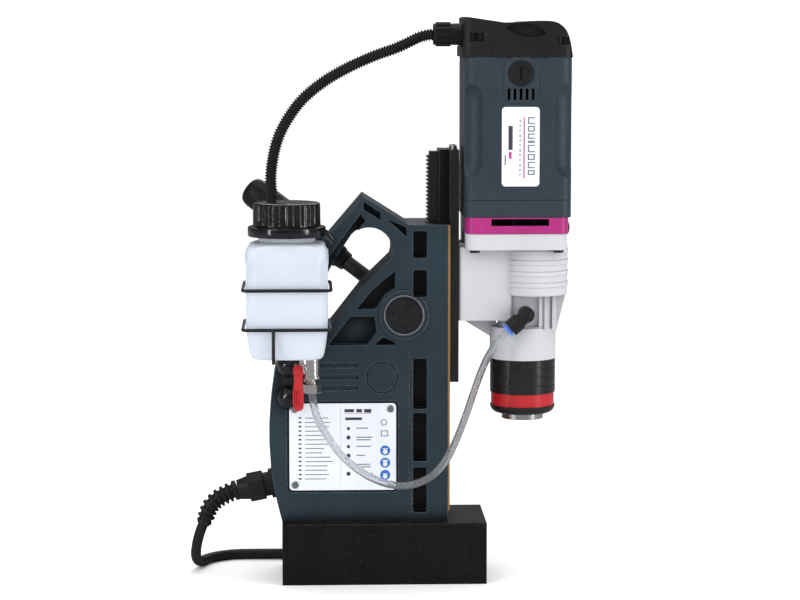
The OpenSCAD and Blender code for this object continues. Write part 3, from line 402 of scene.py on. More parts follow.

# in these finishes the edge mask paints a highlight on sharp edges, partly rubbed wear
SLOT_FINISHES: dict[str, Finish | ClearFinish] = {
    "black_coat": Finish("BlackCoat", (0.006, 0.0058, 0.0062), 0.5, grain=0.0009, depth=0.00003, wear_and_highlight=0.12,
                         edge=0.0009, dust=0.04, fleck=0.05, specular=0.14),
    "copper": Finish("CopperWinding", (0.55, 0.2, 0.08), 0.35, 0.9, marks=Marks.ROUND_Z, edge=0.0),
    # this casting gets strong painted shade in its pockets
    "blue_grey_casting": Finish("BlueGreyCasting", (0.0165, 0.03, 0.041), 0.42, grain=0.00055, depth=0.00006,
                                fleck=0.14, fleck_colour=(0.07, 0.1, 0.12), edge=0.0012, wear_and_highlight=0.8,
                                wear_and_highlight_colour=(0.15, 0.18, 0.2), dust=0.05, recess_shade=0.9, specular=0.25),
    "black_plastic": Finish("BlackPlastic", BLACK_MOULD, 0.42, grain=0.0004, depth=0.00003, edge=0.0008,
                            fleck=0.06, wear_and_highlight=0.2, wear_and_highlight_colour=(0.06, 0.06, 0.065), specular=0.22),
    "circuit_board": Finish("CircuitBoard", (0.03, 0.16, 0.06), 0.35, coat=0.4, grain=0.0012),
    "brass": Finish("BrassStrip", (0.36, 0.19, 0.066), 0.36, 0.45, marks=Marks.ALONG_Z, depth=0.00002,
                    fleck=0.5, fleck_colour=(0.3, 0.13, 0.05), grain=0.0009, edge=0.0003),
    "steel": Finish("MachinedSteel", (0.58, 0.58, 0.6), 0.27, 1.0, marks=Marks.ROUND_Z, depth=0.000006,
                    edge=0.0004),
    "black_oxide": Finish("BlackOxide", BLACK_METAL, 0.26, 0.2, marks=Marks.ALONG_Z, depth=0.000008,
                          edge=0.0006, wear_and_highlight=0.45, wear_and_highlight_colour=(0.16, 0.13, 0.11), specular=0.6),
    "white_label": Finish("WhiteFilm", (0.7, 0.73, 0.785), 0.34, grain=0.002, depth=0.00001, cloud=0.02,
                          edge=0.0002),
    "black_rubber": Finish("BlackRubber", (0.011, 0.011, 0.0115), 0.46, grain=0.0008, depth=0.00003, edge=0.0,
                           fleck=0.05, dust=0.04, specular=0.25),
    "bottle_plastic": Finish("MilkyBottle", (0.545, 0.595, 0.67), 0.33, grain=0.0012, depth=0.00003,
                             cloud=0.03, edge=0.0, subsurface=0.25, fleck=0.25,
                             fleck_colour=(0.42, 0.47, 0.56), specular=0.4),
    "black_gloss": Finish("BlackGloss", (0.005, 0.005, 0.006), 0.17, coat=0.3, grain=0.004, depth=0.00001,
                          edge=0.0006, specular=0.5),
    "black_wire": Finish("BlackWire", (0.01, 0.01, 0.011), 0.3, coat=0.3, grain=0.002, edge=0.0),
    "chrome": Finish("NickelPlate", (0.76, 0.73, 0.69), 0.18, 1.0, marks=Marks.ROUND_Z, depth=0.000006,
                     edge=0.0005, cloud=0.04),
    "red_plastic": Finish("RedPlastic", (0.42, 0.011, 0.015), 0.34, grain=0.001, depth=0.00002, edge=0.0006,
                          coat=0.15, fleck=0.12, fleck_colour=(0.75, 0.12, 0.11)),
    "clear_hose": ClearFinish("ClearHose", (0.9, 0.915, 0.925), 0.03),
    "green_plastic": Finish("GreenPlastic", (0.02, 0.24, 0.05), 0.3, coat=0.2, grain=0.001),
    # this casting gets a little painted shade in its pockets
    "grey_casting": Finish("GreyCasting", (0.5, 0.507, 0.525), 0.5, grain=0.0006, depth=0.00005, fleck=0.22,
                           fleck_colour=(0.37, 0.38, 0.4), edge=0.0009, cloud=0.04, wear_and_highlight=0.3,
                           wear_and_highlight_colour=(0.66, 0.66, 0.67), recess_shade=0.25, specular=0.3),
    "magenta_plastic": Finish("MagentaPlastic", (0.34, 0.014, 0.155), 0.36, grain=0.0006, depth=0.00003,
                              fleck=0.2, fleck_colour=(0.46, 0.08, 0.27), edge=0.0007, coat=0.1),
    "motor_shell": Finish("MotorShell", (0.023, 0.035, 0.046), 0.45, grain=0.00055, depth=0.00005, fleck=0.42,
                          fleck_colour=(0.085, 0.11, 0.125), edge=0.0012, cloud=0.1, wear_and_highlight=0.35,
                          wear_and_highlight_colour=(0.1, 0.12, 0.135), specular=0.3),
    "blue_plastic": Finish("BluePlastic", (0.07, 0.2, 0.66), 0.3, coat=0.2, edge=0.0003),
    "laminations": Finish("Laminations", (0.3, 0.3, 0.31), 0.4, 1.0, marks=Marks.ROUND_Z, depth=0.00004,
                          edge=0.0),
    "carbon": Finish("Carbon", (0.02, 0.02, 0.02), 0.6, grain=0.0005),
    "grip_plastic": Finish("GripPlastic", (0.007, 0.0068, 0.0066), 0.36, grain=0.0007, depth=0.00003,
                           edge=0.0, fleck=0.06, specular=0.16),
}

EXTRA_FINISHES: dict[str, Finish] = {
    "print_dark": Finish("DarkPrint", (0.045, 0.045, 0.06), 0.4, edge=0.0),
    "print_grey": Finish("GreyPrint", PRINT_GREY, 0.4, edge=0.0),
    "print_blue": Finish("BluePrint", (0.02, 0.14, 0.5), 0.4, edge=0.0),
    "print_magenta": Finish("MagentaPrint", (0.45, 0.03, 0.22), 0.4, edge=0.0),
    "seam": Finish("DarkSeam", (0.006, 0.008, 0.01), 0.7, edge=0.0),
    "floor": Finish("PaleFloor", (0.99, 0.98, 0.96), 0.9, grain=0.01, depth=0.00002, cloud=0.004, edge=0.0,
                    specular=0.0),
}


class Paints:
    """Every material, made when a piece first asks for it."""

    def __init__(self) -> None:
        """Builds the shared effects and an empty store."""
        self.effects = Effects()
        self.made: dict[str, bpy.types.Material] = {}

    def get(self, key: str) -> bpy.types.Material:
        """The material of a record slot or of an extra finish."""
        if key not in self.made:
            finish = SLOT_FINISHES.get(key) or EXTRA_FINISHES[key]
            self.made[key] = finish.make(self.effects)
        return self.made[key]


# ---------------------------------------------------------------- curves and skins


def metres(points: Iterable[Triple]) -> list[Vector]:
    """Points in millimetres as vectors in metres."""
    return [Vector(p) * MM for p in points]


def scaled(pairs: Iterable[Pair]) -> list[Pair]:
    """Pairs in millimetres as pairs in metres."""
    return [(a * MM, b * MM) for a, b in pairs]


def full_turn(steps: int) -> list[float]:
    """Equally spaced angles once round."""
    return [2 * math.pi * k / steps for k in range(steps)]


def spline(points: Sequence[Vector], steps: int) -> list[Vector]:
    """Smooth curve through the points, with a number of steps to each span."""
    out: list[Vector] = []
    last = len(points) - 1
    for i in range(last):
        a, b, c, d = points[max(i - 1, 0)], points[i], points[i + 1], points[min(i + 2, last)]
        for k in range(steps):
            t = k / steps
            out.append(b + 0.5 * t * (c - a + t * (2 * a - 5 * b + 4 * c - d + t * (3 * b - a - 3 * c + d))))
    return [*out, points[last].copy()]


def evenly(points: Sequence[Vector], gap: float) -> list[Vector]:
    """The same line with its points a constant distance apart."""
    lengths = [0.0]
    for a, b in zip(points, points[1:]):
        lengths.append(lengths[-1] + (b - a).length)
    count = max(2, round(lengths[-1] / gap))
    out, span = [], 0
    for i in range(count + 1):
        goal = lengths[-1] * i / count
        while span < len(points) - 2 and lengths[span + 1] < goal:
            span += 1
        part = (goal - lengths[span]) / max(lengths[span + 1] - lengths[span], 1e-12)
        out.append(points[span].lerp(points[span + 1], min(part, 1.0)))
    return out


def rounded_path(points: Sequence[Vector], radius: float, closed: bool = False) -> list[Vector]:
    """A bent line whose corners are rounded, as a wire is bent."""
    steps = 6
    out: list[Vector] = []
    count = len(points)
    for i, corner in enumerate(points):
        if not closed and i in (0, count - 1):
            out.append(corner)
            continue
        before, after = points[i - 1] - corner, points[(i + 1) % count] - corner
        cut = min(radius, before.length * 0.45, after.length * 0.45)
        a, b = corner + before.normalized() * cut, corner + after.normalized() * cut
        out += [a.lerp(corner, t).lerp(corner.lerp(b, t), t) for t in (k / steps for k in range(steps + 1))]
    return [*out, out[0]] if closed else out


def length_of(points: Sequence[Vector]) -> float:
    """Length of a line."""
    return sum((b - a).length for a, b in zip(points, points[1:]))


def smooth(t: float) -> float:
    """Eases from 0 to 1."""
    t = min(1.0, max(0.0, t))
    return t * t * (3 - 2 * t)


def bump_over(value: float, low: float, high: float, ease: float) -> float:
    """1 between low and high, easing to 0 outside."""
    return smooth((value - low) / ease) * smooth((high - value) / ease)


def rounded_square(half_x: float, half_y: float, radius: float, steps: int = 8, along: int = 1) -> list[Pair]:
    """Outline of a rectangle with round corners, counter-clockwise.

    Args:
        half_x: half its width.
        half_y: half its height.
        radius: radius of the corners.
        steps: points on each corner's arc.
        along: spans on each straight side.

    Returns:
        The outline's points.
    """
    arcs: list[list[Pair]] = []
    for quarter, (sx, sy) in enumerate(((1, 1), (-1, 1), (-1, -1), (1, -1))):
        x, y = sx * (half_x - radius), sy * (half_y - radius)
        angles = [math.radians(90 * (quarter + k / steps)) for k in range(steps + 1)]
        arcs.append([(x + radius * math.cos(a), y + radius * math.sin(a)) for a in angles])
    out: list[Pair] = []
    for arc, following in zip(arcs, arcs[1:] + arcs[:1]):
        (x0, y0), (x1, y1) = arc[-1], following[0]
        side = [(x0 + (x1 - x0) * j / along, y0 + (y1 - y0) * j / along) for j in range(1, along)]
        out += arc + side
    return out


class Skin:
    """Points and faces collected for one piece."""

    def __init__(self) -> None:
        """Starts empty."""
        self.points: list[Vector] = []
        self.faces: list[list[int]] = []

    def loft(self, rings: Sequence[Sequence[Vector]], loop: bool = False) -> None:
        """Joins rings of equal length into a skin.

        Args:
            rings: the rings in order.
            loop: whether the last ring joins the first.
        """
        base, size, count = len(self.points), len(rings[0]), len(rings)
        for ring in rings:
            self.points += [Vector(p) for p in ring]
        for i in range(count if loop else count - 1):
            a, b = base + i * size, base + (i + 1) % count * size
            self.faces += [[a + k, b + k, b + (k + 1) % size, a + (k + 1) % size] for k in range(size)]
        if not loop:
            self.faces.append([base + k for k in range(size)])
            self.faces.append([base + (count - 1) * size + k for k in range(size)])

    def lathe(
        self,
        profile: Sequence[Pair],
        place: Matrix,
        steps: int = 64,
        shape: Callable[[float, float, float], float] | None = None,
        loop: bool = False,
    ) -> None:
        """Turns a profile of (radius, height) round the local Z axis.

        Args:
            profile: radii and heights in order.
            place: where the local origin and Z axis stand.
            steps: points round each ring.
            shape: gives the radius from the plain radius, the height and the angle.
            loop: whether the profile's last point joins its first.
        """
        rings = []
        for radius, height in profile:
            ring = []
            for a in full_turn(steps):
                r = shape(radius, height, a) if shape else radius
                ring.append(place @ Vector((r * math.cos(a), r * math.sin(a), height)))
            rings.append(ring)
        self.loft(rings, loop=loop)

    def sweep(
        self, centres: Sequence[Vector], radii: Sequence[float], sides: int, loop: bool = False
    ) -> None:
        """Round section along a line, with its own radius at each point."""
        side = Vector((0.31, 1.0, 0.17))
        rings = []
        last = len(centres) - 1
        for i, centre in enumerate(centres):
            along = (centres[min(i + 1, last)] - centres[max(i - 1, 0)]).normalized()
            side = (side - side.dot(along) * along).normalized()
            across = along.cross(side)
            rings.append([centre + radii[i] * (math.cos(a) * side + math.sin(a) * across)
                          for a in full_turn(sides)])
        self.loft(rings[:-1] if loop else rings, loop=loop)

    def slab(self, outline: Sequence[Pair], place: Matrix, low: float, high: float) -> None:
        """Straight extrusion of an outline along the local Z axis."""
        self.loft([[place @ Vector((x, y, z)) for x, y in outline] for z in (low, high)])

    def piece(self, name: str, soften: float = 0.0, crease: float = 35.0) -> bpy.types.Object:
        """Makes the object.

        Args:
            name: the piece's name.
            soften: width of the bevel on its sharp edges, in metres.
            crease: angle in degrees above which an edge stays sharp.

        Returns:
            The new object, in the scene.
        """
        mesh = bpy.data.meshes.new(name)
        mesh.from_pydata(self.points, [], self.faces)
        work = bmesh.new()
        work.from_mesh(mesh)
        bmesh.ops.remove_doubles(work, verts=work.verts, dist=1e-7)
        bmesh.ops.recalc_face_normals(work, faces=work.faces)
        work.to_mesh(mesh)
        work.free()
        mesh.shade_smooth()
        mesh.set_sharp_from_angle(angle=math.radians(crease))
        made = bpy.data.objects.new(name, mesh)
        bpy.context.scene.collection.objects.link(made)
        if soften:
            bevel = made.modifiers.new("soft_edges", "BEVEL")
            bevel.width, bevel.segments, bevel.limit_method = soften, 3, "ANGLE"
            bevel.angle_limit = math.radians(crease)
        return made


@dataclass(frozen=True)
class Box:
    """Lowest and highest corner of a machined part at rest."""

    low: Vector
    high: Vector

    @classmethod
    def of(cls, node: str) -> Box:
        """The box of a named part."""
        return cls(*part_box(node))

    @property
    def middle(self) -> Vector:
        """Centre of the box."""
        return (self.low + self.high) / 2


@dataclass
class Maker:
    """Hands finished pieces over: paint, body, slot and what each stands for."""

    paints: Paints

    def finish(
        self, piece: bpy.types.Object, body: Body | None, paint: str, stands_for: Sequence[str] = ()
    ) -> bpy.types.Object:
        """Paints a piece and sets it on its body.

        Args:
            piece: the new object.
            body: the body that it rides on, or None where it runs between two.
            paint: a record slot, or the name of an extra finish.
            stands_for: the machined parts that it replaces.

        Returns:
            The same object.
        """
        piece.data.materials.clear()
        piece.data.materials.append(self.paints.get(paint))
        if stands_for:
            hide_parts(*stands_for)
        if body:
            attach(piece, body.value)
        replaced = ", ".join(stands_for) or "nothing"
        log.info("piece %s on %s, standing for %s", piece.name, body and body.value, replaced)
        return piece


# ---------------------------------------------------------------- studio


@dataclass
class Studio:
    """Camera, floor and soft light."""

    paints: Paints
    camera_at: Triple = (-0.0629, -2.040, 0.4554)
    camera_along: Triple = (94.0, 2500.0, -280.0)
    lens: float = 113.6
    aim: Triple = (0.0, 0.0, 0.22)
    floor_radius: float = 25.0
    floor_in_gloss: Colour = (0.25, 0.25, 0.26)
    world_colour: Colour = (0.96, 0.97, 1.0)
    world_strength: Pair = (1.06, 0.14)
    extra_when_seen: float = 0.25
    softboxes: tuple[tuple[str, Triple, Pair, float], ...] = (
        ("key", (-1.6, -1.5, 1.7), (1.2, 1.2), 11.0),
        ("fill", (1.9, -1.2, 0.8), (0.7, 1.6), 8.0),
        ("back", (0.3, 2.0, 1.7), (2.0, 1.0), 12.0),
        ("top", (0.0, -0.1, 2.4), (1.6, 1.6), 14.0),
        ("strip_left", (-0.95, -0.75, 0.34), (0.045, 0.66), 2.0),
        ("strip_right", (0.95, -0.6, 0.34), (0.035, 0.66), 1.5),
    )

    def camera(self) -> None:
        """Makes the camera, looking slightly down."""
        data = bpy.data.cameras.new("camera")
        data.lens, data.sensor_width = self.lens, 36.0
        camera = bpy.data.objects.new("camera", data)
        camera.location = self.camera_at
        camera.rotation_euler = Vector(self.camera_along).to_track_quat("-Z", "Y").to_euler()
        bpy.context.scene.collection.objects.link(camera)
        bpy.context.scene.camera = camera

    def build(self) -> None:
        """Makes the floor, the lights and the surroundings."""
        bpy.context.scene.view_settings.view_transform = "Standard"
        floor = Skin()
        wide = self.floor_radius
        floor.lathe([(wide, -0.02), (wide, 0.0)], Matrix.Identity(4), 96)
        ground = floor.piece("floor")
        ground.data.materials.append(self._dim_in_gloss(self.paints.get("floor")))
        for name, at, size, power in self.softboxes:
            self._softbox(name, Vector(at), size, power)
        self._surroundings()

    def _dim_in_gloss(self, paint: bpy.types.Material) -> bpy.types.Material:
        """Darkens the floor in reflections only, so that gloss shows the lights and not the floor."""
        bench = Bench(paint.node_tree)
        base = paint.node_tree.nodes["Principled BSDF"].inputs["Base Color"]
        plain = base.links[0].from_socket
        mirrored = bench.add("ShaderNodeLightPath").outputs["Is Glossy Ray"]
        bench.put(base, bench.mix(mirrored, plain, opaque(self.floor_in_gloss)))
        return paint

    def _softbox(self, name: str, at: Vector, size: Pair, power: float) -> None:
        """One rectangular light that faces the machine."""
        light = bpy.data.lights.new(name, "AREA")
        light.shape, light.size, light.size_y, light.energy = "RECTANGLE", size[0], size[1], power
        lamp = bpy.data.objects.new(name, light)
        lamp.location = at
        lamp.rotation_euler = (Vector(self.aim) - at).to_track_quat("-Z", "Y").to_euler()
        bpy.context.scene.collection.objects.link(lamp)

    def _surroundings(self) -> None:
        """Pale all round, but dim in reflections, so that gloss shows the lights and not the walls."""
        world = bpy.data.worlds.new("studio")
        world.use_nodes = True
        bench = Bench(world.node_tree)
        back = world.node_tree.nodes["Background"]
        back.inputs["Color"].default_value = opaque(self.world_colour)
        paths = bench.add("ShaderNodeLightPath")
        seen = bench.math("MULTIPLY", paths.outputs["Is Camera Ray"], self.extra_when_seen)
        lit = bench.spread(paths.outputs["Is Glossy Ray"], (0.0, 1.0), self.world_strength)
        bench.put(back.inputs["Strength"], bench.math("ADD", seen, lit))
        bpy.context.scene.world = world


# ---------------------------------------------------------------- mains lead


@dataclass
class MainsLead:
    """The mains lead: out of its bend relief, down to the floor, and coiled behind the base."""

    maker: Maker
    diameter: float = 8.5 * MM
    coil_at: Pair = (-16.0, 119.5)
    mean_radius: float = 51.0
    columns: int = 3
    points_per_turn: int = 30
    shift_share: float = 0.25
    tail_from: float = 285.0
    lift: float = 0.1
    squeeze: float = 4.0
    sleeve_ribs: int = 9
    collar_share: float = 0.06
    plug_at: Triple = (-42.0, 164.0, 35.2)
    lead: tuple[Triple, ...] = (
        (-146.2, 0, 46.4), (-147.6, 0, 43), (-150.3, 0.8, 35.8), (-152.3, 3.1, 28.6), (-153.6, 6.8, 21.9),
        (-154.2, 11.8, 16), (-154, 17.8, 11.1), (-152.9, 24.5, 7.4), (-151.2, 31.8, 5.1), (-148.7, 39.1, 4.4),
        (-145.5, 45.7, 4.4), (-141, 51.5, 4.4), (-135.4, 56.3, 4.4), (-128.9, 59.9, 4.4), (-121.9, 62.1, 4.4),
        (-114.5, 62.8, 4.4), (-104, 62.9, 4.4), (-92, 62.5, 4.4), (-78, 61.8, 4.4), (-62, 60.9, 4.4),
        (-46, 60.2, 4.4), (-32, 60, 4.4), (-18, 60, 4.4),
    )
    tail: tuple[Triple, ...] = (
        (-73.5, 104.1, 12.9), (-67.5, 89.8, 15), (-58.1, 77.4, 18.6), (-45.8, 68, 21.1), (-31.4, 62, 21.4),
        (-16, 60, 21.4), (-3.6, 61.2, 21.4), (8.3, 64.9, 21.4), (19.3, 71, 21.4), (28.6, 79.4, 21.4),
        (36, 89.5, 21.4), (41.1, 101, 21.4), (43.8, 114.3, 21.4), (43.4, 127.9, 21.6), (39.8, 139.8, 22.4),
        (32.8, 150, 24.4), (23.6, 157.7, 27.6), (12.6, 162.4, 31.2), (1.5, 164, 34), (-8, 164, 35.1),
        (-16, 164, 35.2), (-22, 164, 35.2),
    )
    relief: tuple[Triple, ...] = (
        (-119.6, 0, 71.2), (-124, 0, 69.8), (-130, 0, 67), (-135.6, 0, 63.6), (-140.2, 0, 59.2),
        (-143.4, 0, 53.8), (-145.4, 0, 48.4), (-147.6, 0, 43),
    )

    def _coil(self) -> list[Vector]:
        """Turns wound inwards on the floor, then outwards on top, shifting by one lead at the same place."""
        pitch = self.diameter / MM
        inwards = [self.mean_radius + pitch * ((self.columns - 1) / 2 - c) for c in range(self.columns)]
        radii = inwards + inwards[::-1]
        heights = [self.lift + pitch / 2] * self.columns + [self.lift + pitch * 1.5] * self.columns
        total = 360.0 * len(radii) - (360.0 - self.tail_from)
        out = []
        for i in range(1, round(total / 360 * self.points_per_turn)):
            turned = i * 360.0 / self.points_per_turn
            turn, part = int(turned // 360), turned % 360 / 360
            follow = min(turn + 1, len(radii) - 1)
            t = smooth((part - 1 + self.shift_share) / self.shift_share)
            r = radii[turn] + (radii[follow] - radii[turn]) * t
            z = heights[turn] + (heights[follow] - heights[turn]) * t
            if turn == self.columns - 1:
                r -= self.squeeze * math.sin(math.pi * t)
            a = math.radians(turned - 90)
            out.append((self.coil_at[0] + r * math.cos(a), self.coil_at[1] + r * math.sin(a), z))
        return metres(out)

    def _rubber(self) -> bpy.types.Object:
        """The lead itself, as one curve."""
        route = metres(self.lead) + self._coil() + metres(self.tail)
        line = spline(route, 3)
        curve = bpy.data.curves.new("mains_lead", "CURVE")
        curve.dimensions, curve.use_fill_caps = "3D", True
        curve.bevel_depth, curve.bevel_resolution = self.diameter / 2, 5
        path = curve.splines.new("POLY")
        path.points.add(len(line) - 1)
        for point, at in zip(path.points, line):
            point.co = (*at, 1.0)
        rubber = bpy.data.objects.new("mains_lead", curve)
        bpy.context.scene.collection.objects.link(rubber)
        self.length = length_of(line)
        return self.maker.finish(rubber, Body.STAND, "black_rubber", ["mains_cord", "cord_coil", "cord_tail"])

    def _relief(self) -> bpy.types.Object:
        """Ribbed sleeve, thick at the gland and thin where the lead leaves it."""
        line = evenly(spline(metres(self.relief), 8), 0.0004)
        radii = []
        for i in range(len(line)):
            t = i / (len(line) - 1)
            rib = bump_over((t * self.sleeve_ribs) % 1.0, 0.12, 0.78, 0.16)
            crest, root = 8.3 - 1.3 * t, 5.8 - 0.5 * t
            radii.append((crest if t < self.collar_share else root + (crest - root) * rib) * MM)
        radii[-12:] = [min(r, 6.2 * MM) for r in radii[-12:]]
        skin = Skin()
        skin.sweep(line, radii, 32)
        sleeve = skin.piece("bend_relief_ribbed")
        return self.maker.finish(sleeve, Body.STAND, "black_rubber", ["bend_relief"])

    def _plug(self) -> bpy.types.Object:
        """Moulded plug with grip flutes, two round pins and a cable neck."""
        place = Matrix.Translation(Vector(self.plug_at) * MM) @ Matrix.Rotation(math.pi / 2, 4, "Y")

        def grip(radius: float, height: float, angle: float) -> float:
            """Presses twelve flutes into the barrel."""
            dip = bump_over(height, -14 * MM, 6 * MM, 3 * MM) * max(0.0, math.cos(12 * angle)) ** 3
            return radius - 0.7 * MM * dip

        body = [(0, -19), (16.4, -19), (17.6, -18.4), (18, -17), (18, -9), (18, -2), (17.8, 1), (16.6, 5),
                (14, 9.5), (11, 13.5), (9.2, 16), (8.2, 17.5), (7.6, 20), (6.4, 24), (5.5, 26), (4.3, 26.2),
                (0, 26.2)]
        pin = [(0, -38), (1.4, -37.8), (2.2, -36.8), (2.4, -35), (2.4, -18.5), (0, -18.4)]
        skin = Skin()
        skin.lathe(scaled(body), place, 96, grip)
        for side in (-9.5, 9.5):
            skin.lathe(scaled(pin), place @ Matrix.Translation(Vector((0, side, 0)) * MM), 24)
        return self.maker.finish(skin.piece("plug_moulded"), Body.STAND, "black_rubber", ["mains_plug"])

    def build(self) -> None:
        """Makes the lead, its sleeve and its plug, and says what they are."""
        rubber = self._rubber()
        pieces = [self._relief(), self._plug()]
        log.info("mains lead is %.3f m long", self.length)


# ---------------------------------------------------------------- hose and conduit


@dataclass
class HeadLines:
    """The coolant hose and the corrugated conduit, shaped at rest and on no body."""

    maker: Maker
    hose_d: float = 6.0 * MM
    hose_bore: float = 4.0 * MM
    hose_sides: int = 20
    conduit_d: float = 9.9 * MM
    rib_pitch: float = 2.3 * MM
    rib_depth: float = 1.15 * MM
    hose: tuple[Triple, ...] = (
        (-58.5, -66, 162), (-58, -66, 158), (-54.5, -66, 142), (-46.5, -66, 126.5), (-34, -66, 109.5),
        (-18.5, -65, 96.5), (-4, -64, 88.8), (10.5, -62.5, 85.3), (24.5, -60.5, 86.5), (38, -58.5, 93),
        (48.8, -56, 105), (57, -53.5, 121), (64.8, -50.5, 140.5), (72.5, -46.5, 162), (78.5, -42.8, 177),
        (84.5, -39.5, 188.4), (91, -37.5, 197.8), (94.8, -37, 202), (98.4, -37, 205.3),
    )
    conduit: tuple[Triple, ...] = (
        (40.4, 0, 442), (30, 0, 439.8), (12, 0, 431.5), (-8, 1, 424.3), (-28, 2, 415.3), (-47.5, 3, 404),
        (-65, 4, 389.5), (-76.8, 5, 373.8), (-84.8, 5.5, 358), (-89.2, 6, 340.5), (-90.7, 6.5, 324),
        (-89.3, 7, 308), (-87, 7, 290), (-85, 7, 270), (-83.6, 7, 250), (-83, 7, 234), (-83, 7, 224.1),
    )

    def _hose(self) -> None:
        """Clear tube with a real bore."""
        line = evenly(spline(metres(self.hose), 8), 0.0022)
        sides = self.hose_sides
        skin = Skin()
        skin.sweep(line, [self.hose_d / 2] * len(line), sides)
        skin.sweep(line, [self.hose_bore / 2] * len(line), sides)
        skin.faces = [f for f in skin.faces if len(f) == 4]
        inner = sides * len(line)
        for ring in (0, sides * (len(line) - 1)):
            for k in range(sides):
                a, b = ring + k, ring + (k + 1) % sides
                skin.faces.append([a, b, inner + b, inner + a])
        tube = self.maker.finish(skin.piece("clear_hose", crease=70), None, "clear_hose", ["coolant_hose"])
        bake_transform(tube)

    def _conduit(self) -> None:
        """Corrugated conduit: a crest and a groove to each rib."""
        smooth_line = spline(metres(self.conduit), 8)
        ribs = round(length_of(smooth_line) / self.rib_pitch)
        crest, root = self.conduit_d / 2, self.conduit_d / 2 - self.rib_depth
        wave = (root, root, (crest + root) / 2, crest, crest, (crest + root) / 2)
        line = evenly(smooth_line, length_of(smooth_line) / (ribs * len(wave)))
        skin = Skin()
        skin.sweep(line, [wave[i % len(wave)] for i in range(len(line))], 24)
        tube = self.maker.finish(skin.piece("conduit_ribbed", crease=60), None, "black_plastic", ["conduit"])
        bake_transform(tube)

    def build(self) -> None:
        """Makes both lines."""
        self._hose()
        self._conduit()


# ---------------------------------------------------------------- coolant bottle


